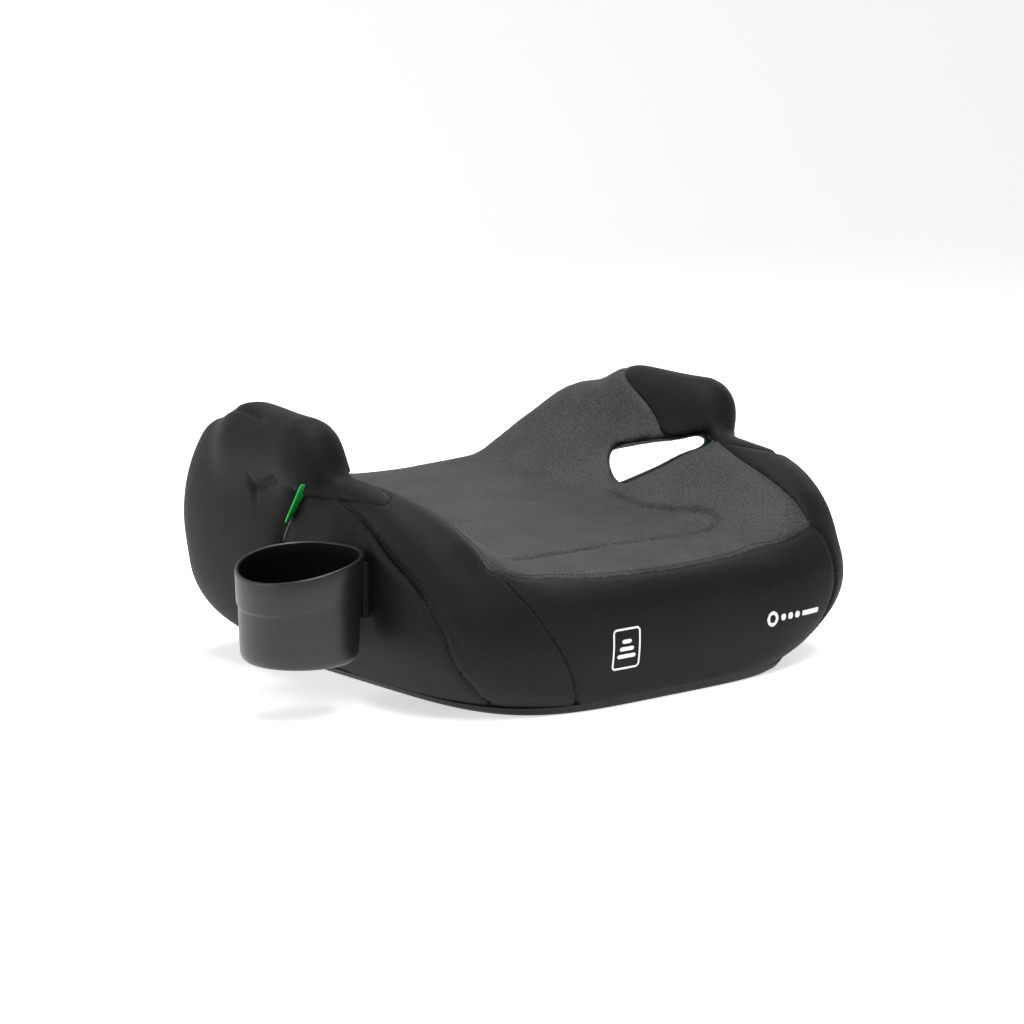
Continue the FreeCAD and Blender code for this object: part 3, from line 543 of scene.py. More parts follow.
@dataclass
class CushionForm:
    """The outer form of the padded seat, as a signed distance field in mm.

    The seat is a rounded tub with a raised rim, an ear at each rear corner, and a horn that
    reaches forward from each ear over a slot for the vehicle's lap belt.
    """

    corner_front: float = 5.3
    corner_rear: float = 3.8
    ear_centre: tuple[float, float, float] = (194.0, 86.0, 117.0)
    ear_reach: tuple[float, float] = (32.0, 85.5)
    horn_root: tuple[float, float, float] = (200.0, 72.0, 180.0)
    horn_tip: tuple[float, float, float] = (205.0, 0.0, 180.0)
    horn_across: float = 28.0
    horn_deep: float = 30.5
    slot_back: tuple[float, float] = (40.0, 133.0)
    slot_mouth: tuple[float, float] = (-70.0, 170.0)
    slot_inner: float = 125.0
    slot_skin: tuple[float, float] = (198.0, 400.0)
    cup_centre: tuple[float, float] = (-262.5, -69.5)
    cup_clear: float = 50.0
    shrink: float = 2.0

    def top(self, u: Array, y: Array) -> Array:
        """Return the height of the seat's top from the distance off centre and y."""
        pan = through(y, [-200, -185, -150, -122, -60, 0, 80, 190, 210],
            [96, 99, 104, 107, 110, 114, 119, 130, 131])
        crown = through(y, [-200, -172, -145, -85, -30, 60, 120, 200], [8, 16, 34, 52, 56, 52, 56, 58])
        return pan + crown * ease((u - 95) / 95.0) + 9 * ease((y - 60) / 120) * np.clip(u / 119.0, 0,
            1) ** 2

    def slot_place(self, u: Array, y: Array, z: Array) -> tuple[Array, Array]:
        """Return the place in the slot's own side view, which leans back towards the outside."""
        out = u - 150
        return y - np.clip(out * 1.28, -20, 96), z + np.clip(out * 0.28, -4, 21)

    def above_slot(self, u: Array, y: Array, z: Array) -> Array:
        """Return how far a place is above the slot's middle line."""
        y2, z2 = self.slot_place(u, y, z)
        (y0, z0), (y1, z1) = self.slot_back, self.slot_mouth
        return z2 - (z0 + np.clip(y0 - y2, -200, y0 - y1) * (z1 - z0) / (y0 - y1))

    def slot_gap(self, x: Array, y: Array, z: Array) -> Array:
        """Return the signed distance to the belt slots, negative inside them."""
        u = np.abs(x)
        y2, z2 = self.slot_place(u, y, z)
        p0, p1 = np.array(self.slot_back), np.array(self.slot_mouth)
        s = p1 - p0
        t = np.clip(((y2 - p0[0]) * s[0] + (z2 - p0[1]) * s[1]) / (s @ s), 0, 1)
        width = through(t, [0, 0.5, 0.8, 1], [15, 9.3, 4.0, 3.4]) * (1 - 0.15 * ease((u - 180) / 36.0))
        slot = np.hypot(y2 - p0[0] - t * s[0], z2 - p0[1] - t * s[1]) - width
        slot = np.maximum(slot, self.slot_inner - u)
        skin = np.where(x < 0, self.slot_skin[0], self.slot_skin[1])
        return np.maximum(slot, np.minimum(u - skin, y + 4))

    def distance(self, x: Array, y: Array, z: Array) -> Array:
        """Return the signed distance to the padded surface.

        Args:
            x: across, in mm.
            y: backwards, in mm.
            z: up, in mm.

        Returns:
            The distance in mm, negative inside.
        """
        u = np.abs(x)
        wide = through(z, [-10, 0, 20, 47, 75, 105, 140, 220], [156, 162, 183, 203, 215, 218, 215, 210])
        wide = wide + 9 * ease(-y / 110) * ease(z / 60.0) * (1 - 0.3 * ease(z / 150.0))
        front = through(z, [-10, 0, 20, 50, 80, 100, 125, 170, 220],
            [185, 189, 196, 200, 197, 190, 180, 166, 160])
        rear = through(z, [-10, 0, 20, 50, 100, 150, 220], [171, 176, 184, 191, 193, 190, 180])
        n_front = through(z, [-10, 0, 25, 60, 95], [3.4, 3.6, 5.2, 6.0, self.corner_front])
        n_rear = through(z, [0, 40, 90], [4.6, 5.6, self.corner_rear])
        power = np.where(y < 0, n_front, n_rear)
        reach = np.where(y < 0, front, rear)
        ratio = ((u / wide) ** power + np.abs(y / reach) ** power) ** (1 / power)
        wall = (ratio - 1) * (wide + reach) / 2
        body = smooth_max(wall, (z - self.top(u, y)) * 0.93, 22)
        body = smooth_max(body, -z, 4)
        cx, cy, cz = self.ear_centre
        half, round_ = self.ear_reach
        disc = (np.abs((u - cx) / half) ** 2.6 + np.hypot((y - cy) / round_,
            (z - cz) / round_) ** 2.6) ** (1 / 2.6)
        a, b = np.array(self.horn_root), np.array(self.horn_tip)
        d = b - a
        t = np.clip(((u - a[0]) * d[0] + (y - a[1]) * d[1] + (z - a[2]) * d[2]) / (d @ d), 0, 1)
        across = (u - a[0] - t * d[0]) / self.horn_across
        deep = ((y - a[1] - t * d[1]) ** 2 + (z - a[2] - t * d[2]) ** 2) / self.horn_deep**2
        off = np.sqrt(across**2 + deep)
        padded = smooth_min(body, (disc - 1) * 40, 26)
        padded = smooth_min(padded, (off - 1) * self.horn_across, 20)
        padded = smooth_max(padded, -self.slot_gap(x, y, z), 7)
        cup_x, cup_y = self.cup_centre
        return smooth_max(padded, self.cup_clear - np.hypot(x - cup_x, y - cup_y), 8) + self.shrink

    def mesh(self, step: float) -> tuple[Array, Array]:
        """Return the form's points and faces at a given spacing in mm."""
        return surface_net(self.distance(*grid(*FORM_BOX, step)), FORM_BOX[0], step)


class Panel(Enum):
    """The sewn panels of the cover, and the underside that has none."""

    UNDER = "under"
    SEAT = "seat_cover"
    FRONT = "front_cover"
    REAR = "rear_cover"
    LEFT_HORN = "left_horn_cover"
    RIGHT_HORN = "right_horn_cover"
    LEFT_CORNER = "left_corner_cover"
    RIGHT_CORNER = "right_corner_cover"
    LEFT_SIDE = "left_side_cover"
    RIGHT_SIDE = "right_side_cover"


@dataclass
class SewingPattern:
    """Where the cover's seams run, in mm."""

    form: CushionForm
    hem: float = 4.0
    rear_edge: float = 113.0
    rear_half: float = 166.0
    off_centre: float = 4.0

    def front_edge(self, u: Array) -> Array:
        """Return the height of the seam between the seat and the front."""
        return through(u, [0, 70, 116, 150, 163, 185], [96.5, 98, 101.5, 108, 112, 118])

    def crest(self, y: Array) -> Array:
        """Return how far out the seat's side seam runs."""
        return through(y, [-180, -123, -93, -56, -15, 30, 80, 200],
            [164, 165, 167, 175, 189, 193, 195, 195])

    def front_side(self, z: Array, right: Array) -> Array:
        """Return how far out the front panel's side seams run; the right one lies further round."""
        near = through(z, [0, 10, 45, 74, 100, 111], [96, 102, 121, 140, 156, 160])
        return np.where(right, through(z, [0, 10, 45, 74, 100, 111], [134, 142, 160, 169, 168, 161]), near)

    def side_line(self, z: Array) -> Array:
        """Return the y of the seam between a corner panel and a side panel."""
        return through(z, [0, 9, 31, 63, 95, 127, 150, 165], [-148, -152, -161, -164, -146, -104, -46, -4])

    def valley(self, z: Array) -> Array:
        """Return the y of the seam between a side panel and the ear."""
        return through(z, [0, 60, 116, 132, 144, 158], [44, 32, 14, 7, 1, -10])

    def tip_line(self, z: Array) -> Array:
        """Return the y of the seam where the horn's tip starts."""
        return through(z, [140, 165, 181, 204, 222], [0, 15, 32, 71, 100])

    def panel_numbers(self, points: Array) -> Array:
        """Return each point's panel, as its number in the list of panels."""
        order = {panel: i for i, panel in enumerate(Panel)}
        x, y, z = points.T
        u, right = np.abs(x), x > 0
        above = self.form.above_slot(u, y, z)
        shifted = np.abs(x - self.off_centre)
        edge = np.where(y < 0, self.front_edge(shifted),
            through(y, [0, 60, 150, 190], [90, 90, self.rear_edge, self.rear_edge]))
        tip = (above > 0) & (y < self.tip_line(z)) & (u > 140)
        seat = (z > edge) & (u < self.crest(y)) & ~tip
        horn = (above > 0) | (y > self.valley(z))
        corner = (y < self.side_line(z)) & (above <= 0)
        number = np.where(right, order[Panel.RIGHT_SIDE], order[Panel.LEFT_SIDE])
        number = np.where(corner, np.where(right, order[Panel.RIGHT_CORNER], order[Panel.LEFT_CORNER]),
            number)
        number = np.where(horn, np.where(right, order[Panel.RIGHT_HORN], order[Panel.LEFT_HORN]), number)
        number = np.where((y > 0) & (u < self.rear_half) & (z < 150), order[Panel.REAR], number)
        number = np.where((y < 0) & (shifted < self.front_side(z, right)) & (z < edge), order[Panel.FRONT],
            number)
        number = np.where(seat, order[Panel.SEAT], number)
        return np.where(z < self.hem, order[Panel.UNDER], number)


@dataclass
class Fold:
    """A crease pressed into the padded surface along a path.

    The depth and width are in mm; fade is the share of the length over which each end
    comes up to the surface.
    """

    path: Sequence[Sequence[float]]
    depth: float
    width: float
    fade: tuple[float, float] = (0.15, 0.15)
    mirrored: bool = True

    def press(self, points: Array, normals: Array) -> Array:
        """Return how far each point moves inwards."""
        moved = np.zeros(len(points))
        line = dense(self.path)
        share = np.linspace(0, 1, len(line))
        strength = ease(share / max(self.fade[0], 1e-6)) * ease((1 - share) / max(self.fade[1], 1e-6))
        for side in (1, -1) if self.mirrored else (1,):
            marks = line * (side, 1, 1)
            seat = np.array([int(np.argmin(((points - mark) ** 2).sum(1))) for mark in marks])
            lift = ((marks - points[seat]) * normals[seat]).sum(1)
            marks = marks - normals[seat] * lift[:, None]
            low, high = marks.min(0) - 3.2 * self.width, marks.max(0) + 3.2 * self.width
            close = np.nonzero(((points > low) & (points < high)).all(1))[0]
            if len(close):
                gap, mark = nearest(points[close], marks)
                moved[close] += self.depth * strength[mark] * np.exp(-((gap / self.width) ** 2))
        return moved


@dataclass
class PaddedCover:
    """The sewn and stuffed cover: its swelling, its seams, its creases and its panels."""

    form: CushionForm
    pattern: SewingPattern
    palette: Palette
    step: float = 5.0
    thick: float = 2.2
    swell_limit: float = 4.5
    pressure: float = 4.0
    frames: int = 20
    seam_hold: float = 9.0
    base_hold: float = 10.0
    groove_depth: float = 1.7
    groove_width: float = 3.2
    points: Array = field(init=False)
    triangles: Array = field(init=False)
    numbers: Array = field(init=False)

    def folds(self) -> list[Fold]:
        """Return every crease and dent of the padding."""
        return [
            Fold(
                [(117, 34, 122), (111, 4, 117), (109, -28, 113), (114, -60, 113), (121, -88, 114),
                    (117, -106, 112), (100, -115, 109), (60, -115, 108), (0, -112, 108)],
                4.2, 2.7, (0.06, 0.0),
            ),
            Fold([(-205, 108, 201), (-211, 80, 206), (-214, 62, 207), (-219, 42, 204), (-223, 31, 198)],
                4.0, 3.2, (0.4, 0.3)),
            Fold([(-226, 52, 149), (-226, 37, 153), (-226, 20, 159), (-226, 5, 164)], 3.6, 3.2, (0.5, 0.1)),
            Fold([(-226, 47, 150), (-226, 38, 152)], 3.0, 9.0, (0.4, 0.4)),
            Fold([(-224, -8, 156), (-222, 7, 132), (-222, 14, 112), (-214, 24, 80)], 4.0, 7.0, (0.05, 0.5)),
            Fold([(-218, -31, 165), (-219, -66, 148), (-218, -106, 127), (-205, -146, 95), (-187, -164, 63),
                (-162, -161, 31)], 2.4, 3.4, (0.02, 0.4)),
        ]

    def swelled(self, points: Array, faces: Array) -> Object:
        """Blow the sewn form up gently with cloth, held at its seams.

        Args:
            points: the form's points in mm.
            faces: its faces.

        Returns:
            A closed object whose panels are crowned between their seams.
        """
        piece = new_object("padding_blank", points, faces, None)
        at, _ = nearest(points, self.seam_marks(points, self.split(faces)))
        held = np.clip(1.6 - at / self.seam_hold, 0, 1)
        held[points[:, 2] < self.base_hold] = 1
        group = piece.vertex_groups.new(name="sewn")
        for level in range(1, 11):
            chosen = np.nonzero(np.round(held * 10) == level)[0]
            if len(chosen):
                group.add(chosen.tolist(), level / 10, "REPLACE")
        cloth = piece.modifiers.new("swell", "CLOTH")
        cloth.settings.use_pressure = True
        cloth.settings.uniform_pressure_force = self.pressure
        cloth.settings.effector_weights.gravity = 0
        cloth.settings.vertex_group_mass = "sewn"
        cloth.settings.quality = 4
        cloth.collision_settings.use_collision = False
        cloth.point_cache.frame_start, cloth.point_cache.frame_end = 1, self.frames
        scene = bpy.context.scene
        for frame in range(1, self.frames + 1):
            scene.frame_set(frame)
        evaluated = piece.evaluated_get(bpy.context.evaluated_depsgraph_get())
        moved = points_of(evaluated.data) - points
        far = np.linalg.norm(moved, axis=1, keepdims=True)
        moved *= np.minimum(1, self.swell_limit / np.maximum(far, 1e-6))
        piece.modifiers.clear()
        scene.frame_set(1)
        piece.data.vertices.foreach_set("co", ((points + moved) * MM).ravel())
        piece.data.update()
        smooth = piece.modifiers.new("relax", "SMOOTH")
        smooth.factor, smooth.iterations = 0.5, 3
        finer = piece.modifiers.new("finer", "SUBSURF")
        finer.levels = finer.render_levels = 1
        return settled(piece)

    @staticmethod
    def split(faces: Array) -> Array:
        """Return four-cornered faces as triangles."""
        return np.concatenate([faces[:, [0, 1, 2]], faces[:, [0, 2, 3]]])

    def crossings(self, points: Array, triangles: Array) -> tuple[Array, Array, Array]:
        """Find where the mesh's edges cross the seams.

        Args:
            points: the mesh's points in mm.
            triangles: its triangles.

        Returns:
            The crossed edges, the share along each, and the crossing places.
        """
        edges = np.sort(np.concatenate([triangles[:, [0, 1]], triangles[:, [1, 2]], triangles[:, [2, 0]]]),
            1)
        edges = np.unique(edges, axis=0)
        number = self.pattern.panel_numbers(points)
        edges = edges[number[edges[:, 0]] != number[edges[:, 1]]]
        a, b, first = points[edges[:, 0]], points[edges[:, 1]], number[edges[:, 0]]
        low, high = np.zeros(len(edges)), np.ones(len(edges))
        for _ in range(12):
            middle = (low + high) / 2
            same = self.pattern.panel_numbers(a + (b - a) * middle[:, None]) == first
            low, high = np.where(same, middle, low), np.where(same, high, middle)
        return edges, low, a + (b - a) * low[:, None]

    def seam_marks(self, points: Array, triangles: Array) -> Array:
        """Return places along every seam in mm."""
        return self.crossings(points, triangles)[2]

    def build(self) -> list[Object]:
        """Make the cover's panels.

        Returns:
            One object for each panel.
        """
        blank = self.swelled(*self.form.mesh(self.step))
        points = points_of(blank.data)
        corners = np.zeros(len(blank.data.loops), int)
        blank.data.loops.foreach_get("vertex_index", corners)
        triangles = self.split(corners.reshape(-1, 4))
        bpy.data.objects.remove(blank)
        edges, share, places = self.crossings(points, triangles)
        cost = np.minimum(share, 1 - share)
        mover = np.where(share <= 0.5, edges[:, 0], edges[:, 1])
        order = np.argsort(-cost)
        points[mover[order]] = places[order]
        sewn = np.zeros(len(points), bool)
        sewn[mover] = True
        normals = normals_of(points, triangles)
        number = self.pattern.panel_numbers(points)
        middle = self.pattern.panel_numbers(points[triangles].mean(1))
        chosen = middle.copy()
        for i in range(3):
            free = ~sewn[triangles[:, i]]
            chosen[free] = number[triangles[free, i]]
        sunk = self.groove_depth * np.exp(-((nearest(points, places)[0] / self.groove_width) ** 2))
        for fold in self.folds():
            sunk += fold.press(points, normals)
        points = points - normals * sunk[:, None]
        self.points, self.triangles, self.numbers = points, triangles, chosen
        return [self.panel(i, panel) for i, panel in enumerate(Panel) if panel is not Panel.UNDER]

    def panel(self, number: int, panel: Panel) -> Object:
        """Cut one panel out of the cover and give it its thickness."""
        faces = self.triangles[self.numbers == number]
        used, renumbered = np.unique(faces, return_inverse=True)
        finish = self.palette.melange if panel is Panel.SEAT else self.palette.black_knit
        piece = new_object("fabric_" + panel.value, self.points[used], renumbered.reshape(-1, 3), finish)
        wall = piece.modifiers.new("thickness", "SOLIDIFY")
        wall.thickness, wall.offset = self.thick * MM, -1
        settled(piece)
        joined(piece, "seat", panel.value)
        return piece

    def tree(self) -> BVHTree:
        """Return a search tree of the outer surface, in mm."""
        return BVHTree.FromPolygons(self.points.tolist(), self.triangles.tolist())


# ---------------------------------------------------------------- stitches


@dataclass
class StitchRows:
    """Lockstitches along the seams, laid by Geometry Nodes."""

    cover: PaddedCover
    palette: Palette
    pitch: float = 3.4
    length: float = 2.5
    thread: float = 0.75
    beside: float = 3.0
    longest_gap: float = 12.0

    def node_group(self, finish: Material) -> NodeTree:
        """Build the node tree that turns lines into stitches.

        Args:
            finish: the thread's material.

        Returns:
            The tree, with the pitch, length and thread width as named inputs in metres.
        """
        tree = bpy.data.node_groups.new("lockstitch", "GeometryNodeTree")
        tree.interface.new_socket("Geometry", in_out="INPUT", socket_type="NodeSocketGeometry")
        for name in ("Pitch", "Length", "Thread"):
            tree.interface.new_socket(name, in_out="INPUT", socket_type="NodeSocketFloat")
        tree.interface.new_socket("Geometry", in_out="OUTPUT", socket_type="NodeSocketGeometry")
        given = add_node(tree, "NodeGroupInput")
        line = add_node(tree, "GeometryNodeMeshToCurve", links={0: given.outputs["Geometry"]})
        spaced = add_node(tree, "GeometryNodeResampleCurve",
            links={"Curve": line.outputs[0], "Length": given.outputs["Pitch"]}, mode="LENGTH")
        along = add_node(tree, "GeometryNodeInputTangent")
        turned = add_node(tree, "FunctionNodeAlignRotationToVector", links={"Vector": along.outputs[0]},
            axis="X")
        bead = add_node(tree, "GeometryNodeMeshUVSphere", {"Segments": 6, "Rings": 4, "Radius": 0.5})
        size = add_node(
            tree,
            "ShaderNodeCombineXYZ",
            links={0: given.outputs["Length"], 1: given.outputs["Thread"], 2: given.outputs["Thread"]},
        )
        laid = add_node(
            tree,
            "GeometryNodeInstanceOnPoints",
            links={"Points": spaced.outputs[0], "Instance": bead.outputs[0], "Rotation": turned.outputs[0],
                "Scale": size.outputs[0]},
        )
        real = add_node(tree, "GeometryNodeRealizeInstances", links={0: laid.outputs[0]})
        dressed = add_node(tree, "GeometryNodeSetMaterial", {"Material": finish},
            {"Geometry": real.outputs[0]})
        add_node(tree, "NodeGroupOutput", links={0: dressed.outputs[0]})
        return tree

    def row(self, shots: Sequence[tuple[Vector, Vector]]) -> list[Vector]:
        """Return where rays that are shot at the cover land, in mm."""
        hits = [self.search.ray_cast(start, way) for start, way in shots]
        return [place + normal * 0.25 for place, normal, _, _ in hits if place is not None]

    def lines(self) -> dict[str, list[list[Vector]]]:
        """Return the stitch lines of each thread colour."""
        p, form = self.cover.pattern, self.cover.form
        back, down = Vector((0, 1, 0)), Vector((0, 0, -1))
        beside = self.beside
        grey, black = [], []
        across = np.linspace(-156, 164, 110)
        heights = p.front_edge(np.abs(across - p.off_centre)) + beside * 0.3
        grey.append(self.row([(Vector((x, -300, z)), back) for x, z in zip(across, heights)]))
        for side in (1, -1):
            into = Vector((-side, 0, 0))
            levels = np.linspace(8, 106, 40)
            outs = side * (p.front_side(levels, np.full(40, side > 0)) + beside) + p.off_centre
            black.append(self.row([(Vector((x, -300, z)), back) for x, z in zip(outs, levels)]))
            runs = np.linspace(-160, -38, 46)
            grey.append(self.row([(Vector((side * (c - beside), y, 190)), down) for y,
                c in zip(runs, p.crest(runs))]))
            levels = np.linspace(60, 156, 40)
            rows = p.side_line(levels) - beside
            black.append(self.row([(Vector((side * 300, y, z)), into) for y, z in zip(rows, levels)]))
        rear = np.linspace(-150, 150, 100)
        grey.append(self.row([(Vector((x, 300, p.rear_edge + beside)), -back) for x in rear]))
        return {"grey": grey, "black": black}

    def build(self) -> list[Object]:
        """Make the stitches of both thread colours and return them."""
        self.search = self.cover.tree()
        pieces = []
        threads = {"grey": self.palette.thread_grey, "black": self.palette.thread_black}
        for colour, lines in self.lines().items():
            mesh = bpy.data.meshes.new("stitch_lines")
            corners = [point * MM for line in lines for point in line]
            edges, first = [], 0
            for line in lines:
                for i, (start, end) in enumerate(zip(line, line[1:])):
                    if (start - end).length < self.longest_gap:
                        edges.append((first + i, first + i + 1))
                first += len(line)
            mesh.from_pydata(corners, edges, [])
            guide = placed("stitch_guide", mesh)
            sewing = guide.modifiers.new("sew", "NODES")
            sewing.node_group = self.node_group(threads[colour])
            sizes = {"Pitch": self.pitch, "Length": self.length, "Thread": self.thread}
            for item in sewing.node_group.interface.items_tree:
                if item.item_type == "SOCKET" and item.name in sizes:
                    sewing[item.identifier] = sizes[item.name] * MM
            piece = settled(guide)
            piece.name = piece.data.name = "stitches_" + colour
            pieces.append(joined(piece, "seat"))
        return pieces


# ---------------------------------------------------------------- foam inside


@dataclass
class FoamSet:
    """The moulded foam pads under the cover."""

    form: CushionForm
    palette: Palette
    gap: float = 4.5
    thick: float = 22.0
    step: float = 7.0

    def build(self) -> list[Object]:
        """Make the seat, bolster and horn pads.

        Returns:
            One closed object for each pad.
        """
        x, y, z = grid(*FORM_BOX, self.step)
        u, base = np.abs(x), self.form.distance(x, y, z)
        layer = np.maximum(base + self.gap, -(base + self.gap + self.thick))
        above = self.form.above_slot(u, y, z)
        pads = {"seat_foam": smooth_max(layer, smooth_max(u - 128, 96 - z, 4), 4)}
        for side, name in ((-1, "left"), (1, "right")):
            bolster = np.maximum(133 - side * x, np.maximum(100 - z, above + 4))
            horn = np.maximum(152 - side * x, np.maximum(118 - z, 4 - above))
            pads[name + "_bolster_foam"] = smooth_max(layer, bolster, 4)
            pads[name + "_horn_foam"] = smooth_max(base + self.gap, horn, 4)
        pieces = []
        for node, values in pads.items():
            piece = new_object("pad_" + node, *surface_net(values, FORM_BOX[0], self.step),
                self.palette.foam)
            soften = piece.modifiers.new("soften", "SMOOTH")
            soften.factor, soften.iterations = 0.5, 2
            settled(piece)
            pieces.append(joined(piece, "seat", node))
        return pieces


# ---------------------------------------------------------------- cup holder


@dataclass
class CupHolder:
    """A clip-on cup holder with a waved rim, a band step below it and a hook tongue."""

    palette: Palette
    centre: tuple[float, float] = (-262.5, -69.5)
    top_radius: float = 45.4
    foot_radius: float = 42.8
    high: float = 123.0
    low: float = 44.0
    dip: float = 15.0
    dip_towards: float = math.radians(192)
    band: float = 24.0
    step_out: float = 1.3
    wall: float = 2.4
    segments: int = 128

    def rim(self, angle: float) -> float:
        """Return the rim's height at an angle."""
        turn = (math.cos(angle - self.dip_towards) + 1) / 2
        return self.high - self.dip * turn**1.7

    def ring_heights(self, angle: float) -> list[tuple[float, float]]:
        """Return the radius and height of each ring of the wall at an angle, outside then inside."""
        rim, foot = self.rim(angle), self.low
        ledge = rim - self.band

        def radius(z: float) -> float:
            """Return the tapered wall's outer radius."""
            return self.foot_radius + (self.top_radius - self.foot_radius) * (z - foot) / (self.high - foot)

        out = [(0.0, foot + 1.2), (radius(foot) - 16, foot + 1.0), (radius(foot) - 8, foot),
            (radius(foot) - 4, foot + 0.8)]
        out += [(radius(foot) - 1.4, foot + 3.0), (radius(foot), foot + 6.5)]
        out += [(radius(foot + (ledge - foot - 7) * t + 7),
            foot + (ledge - foot - 7) * t + 7) for t in (0.15, 0.4, 0.7, 0.9)]
        out += [(radius(ledge - 1.4), ledge - 1.4), (radius(ledge - 0.4) + 0.15, ledge - 0.4)]
        out += [(radius(ledge) + self.step_out * 0.8, ledge + 0.2),
            (radius(ledge) + self.step_out, ledge + 1.2)]
        out += [(radius(ledge + 12) + self.step_out, ledge + 12),
            (radius(rim - 2) + self.step_out, rim - 1.6)]
        out += [(radius(rim) + self.step_out - 0.4, rim - 0.4), (radius(rim) + self.step_out - 1.2, rim)]
        inner = self.wall + 0.2
        out += [(radius(rim) - inner + 1.6, rim - 0.1), (radius(rim) - inner + 0.8, rim - 1.0)]
        out += [(radius(rim - 10) - inner + 0.6, rim - 10), (radius(ledge) - inner, ledge - 2)]
        out += [(radius(z) - inner, z) for z in (foot + 40, foot + 14)]
        out += [(radius(foot) - inner - 2, foot + 6), (radius(foot) - inner - 8, foot + self.wall + 1.0),
            (0.0, foot + self.wall + 1.0)]
        return out

    def build(self) -> Object:
        """Make the cup holder and return it."""
        angles = [2 * math.pi * i / self.segments for i in range(self.segments)]
        rings = [self.ring_heights(a) for a in angles]
        cx, cy = self.centre
        bm = bmesh.new()
        columns = []
        poles = [bm.verts.new((cx * MM, cy * MM, rings[0][k][1] * MM)) for k in (0, -1)]
        for a, ring in zip(angles, rings):
            columns.append([bm.verts.new(((cx + r * math.cos(a)) * MM, (cy + r * math.sin(a)) * MM,
                z * MM)) for r, z in ring[1:-1]])
        for i, column in enumerate(columns):
            following = columns[(i + 1) % self.segments]
            bm.faces.new((poles[0], following[0], column[0]))
            for k in range(len(column) - 1):
                bm.faces.new((column[k], following[k], following[k + 1], column[k + 1]))
            bm.faces.new((column[-1], following[-1], poles[1]))
        bmesh.ops.recalc_face_normals(bm, faces=bm.faces)
        low, high = (Vector(v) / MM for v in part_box("cup_bracket"))
        tongue = bmesh.ops.create_cube(bm, size=1)["verts"]
        size = Vector((high.x - (cx + self.top_radius - 1.5), (high.y - low.y) * 0.6, 30)) * MM
        centre = Vector(((high.x + cx + self.top_radius - 1.5) / 2, (low.y + high.y) / 2, high.z - 18)) * MM
        bmesh.ops.scale(bm, vec=size, verts=tongue)
        bmesh.ops.translate(bm, vec=centre, verts=tongue)
        edges = list({edge for vert in tongue for edge in vert.link_edges})
        bmesh.ops.bevel(bm, geom=edges, offset=1.0 * MM, segments=3, affect="EDGES")
        mesh = bpy.data.meshes.new("waved_cup_holder")
        bm.to_mesh(mesh)
        bm.free()
        mesh.polygons.foreach_set("use_smooth", np.ones(len(mesh.polygons), bool))
        mesh.materials.append(self.palette.cup)
        mesh.materials.append(self.palette.cup_inside_painted_shade)
        # Inward-facing faces of the cup's open part take the near-black copy of its plastic: painted shade
        # inside the cup.
        for face in mesh.polygons:
            out = Vector((face.center.x - cx * MM, face.center.y - cy * MM, 0))
            rim = self.rim(math.atan2(out.y, out.x)) * MM
            open_part = self.low * MM + 0.003 < face.center.z < rim - 0.0015
            face.material_index = int(out.dot(face.normal) < 0 and open_part)
        piece = placed("waved_cup_holder", mesh)
        return joined(piece, "cup", "cup_holder")


# ---------------------------------------------------------------- printed marks


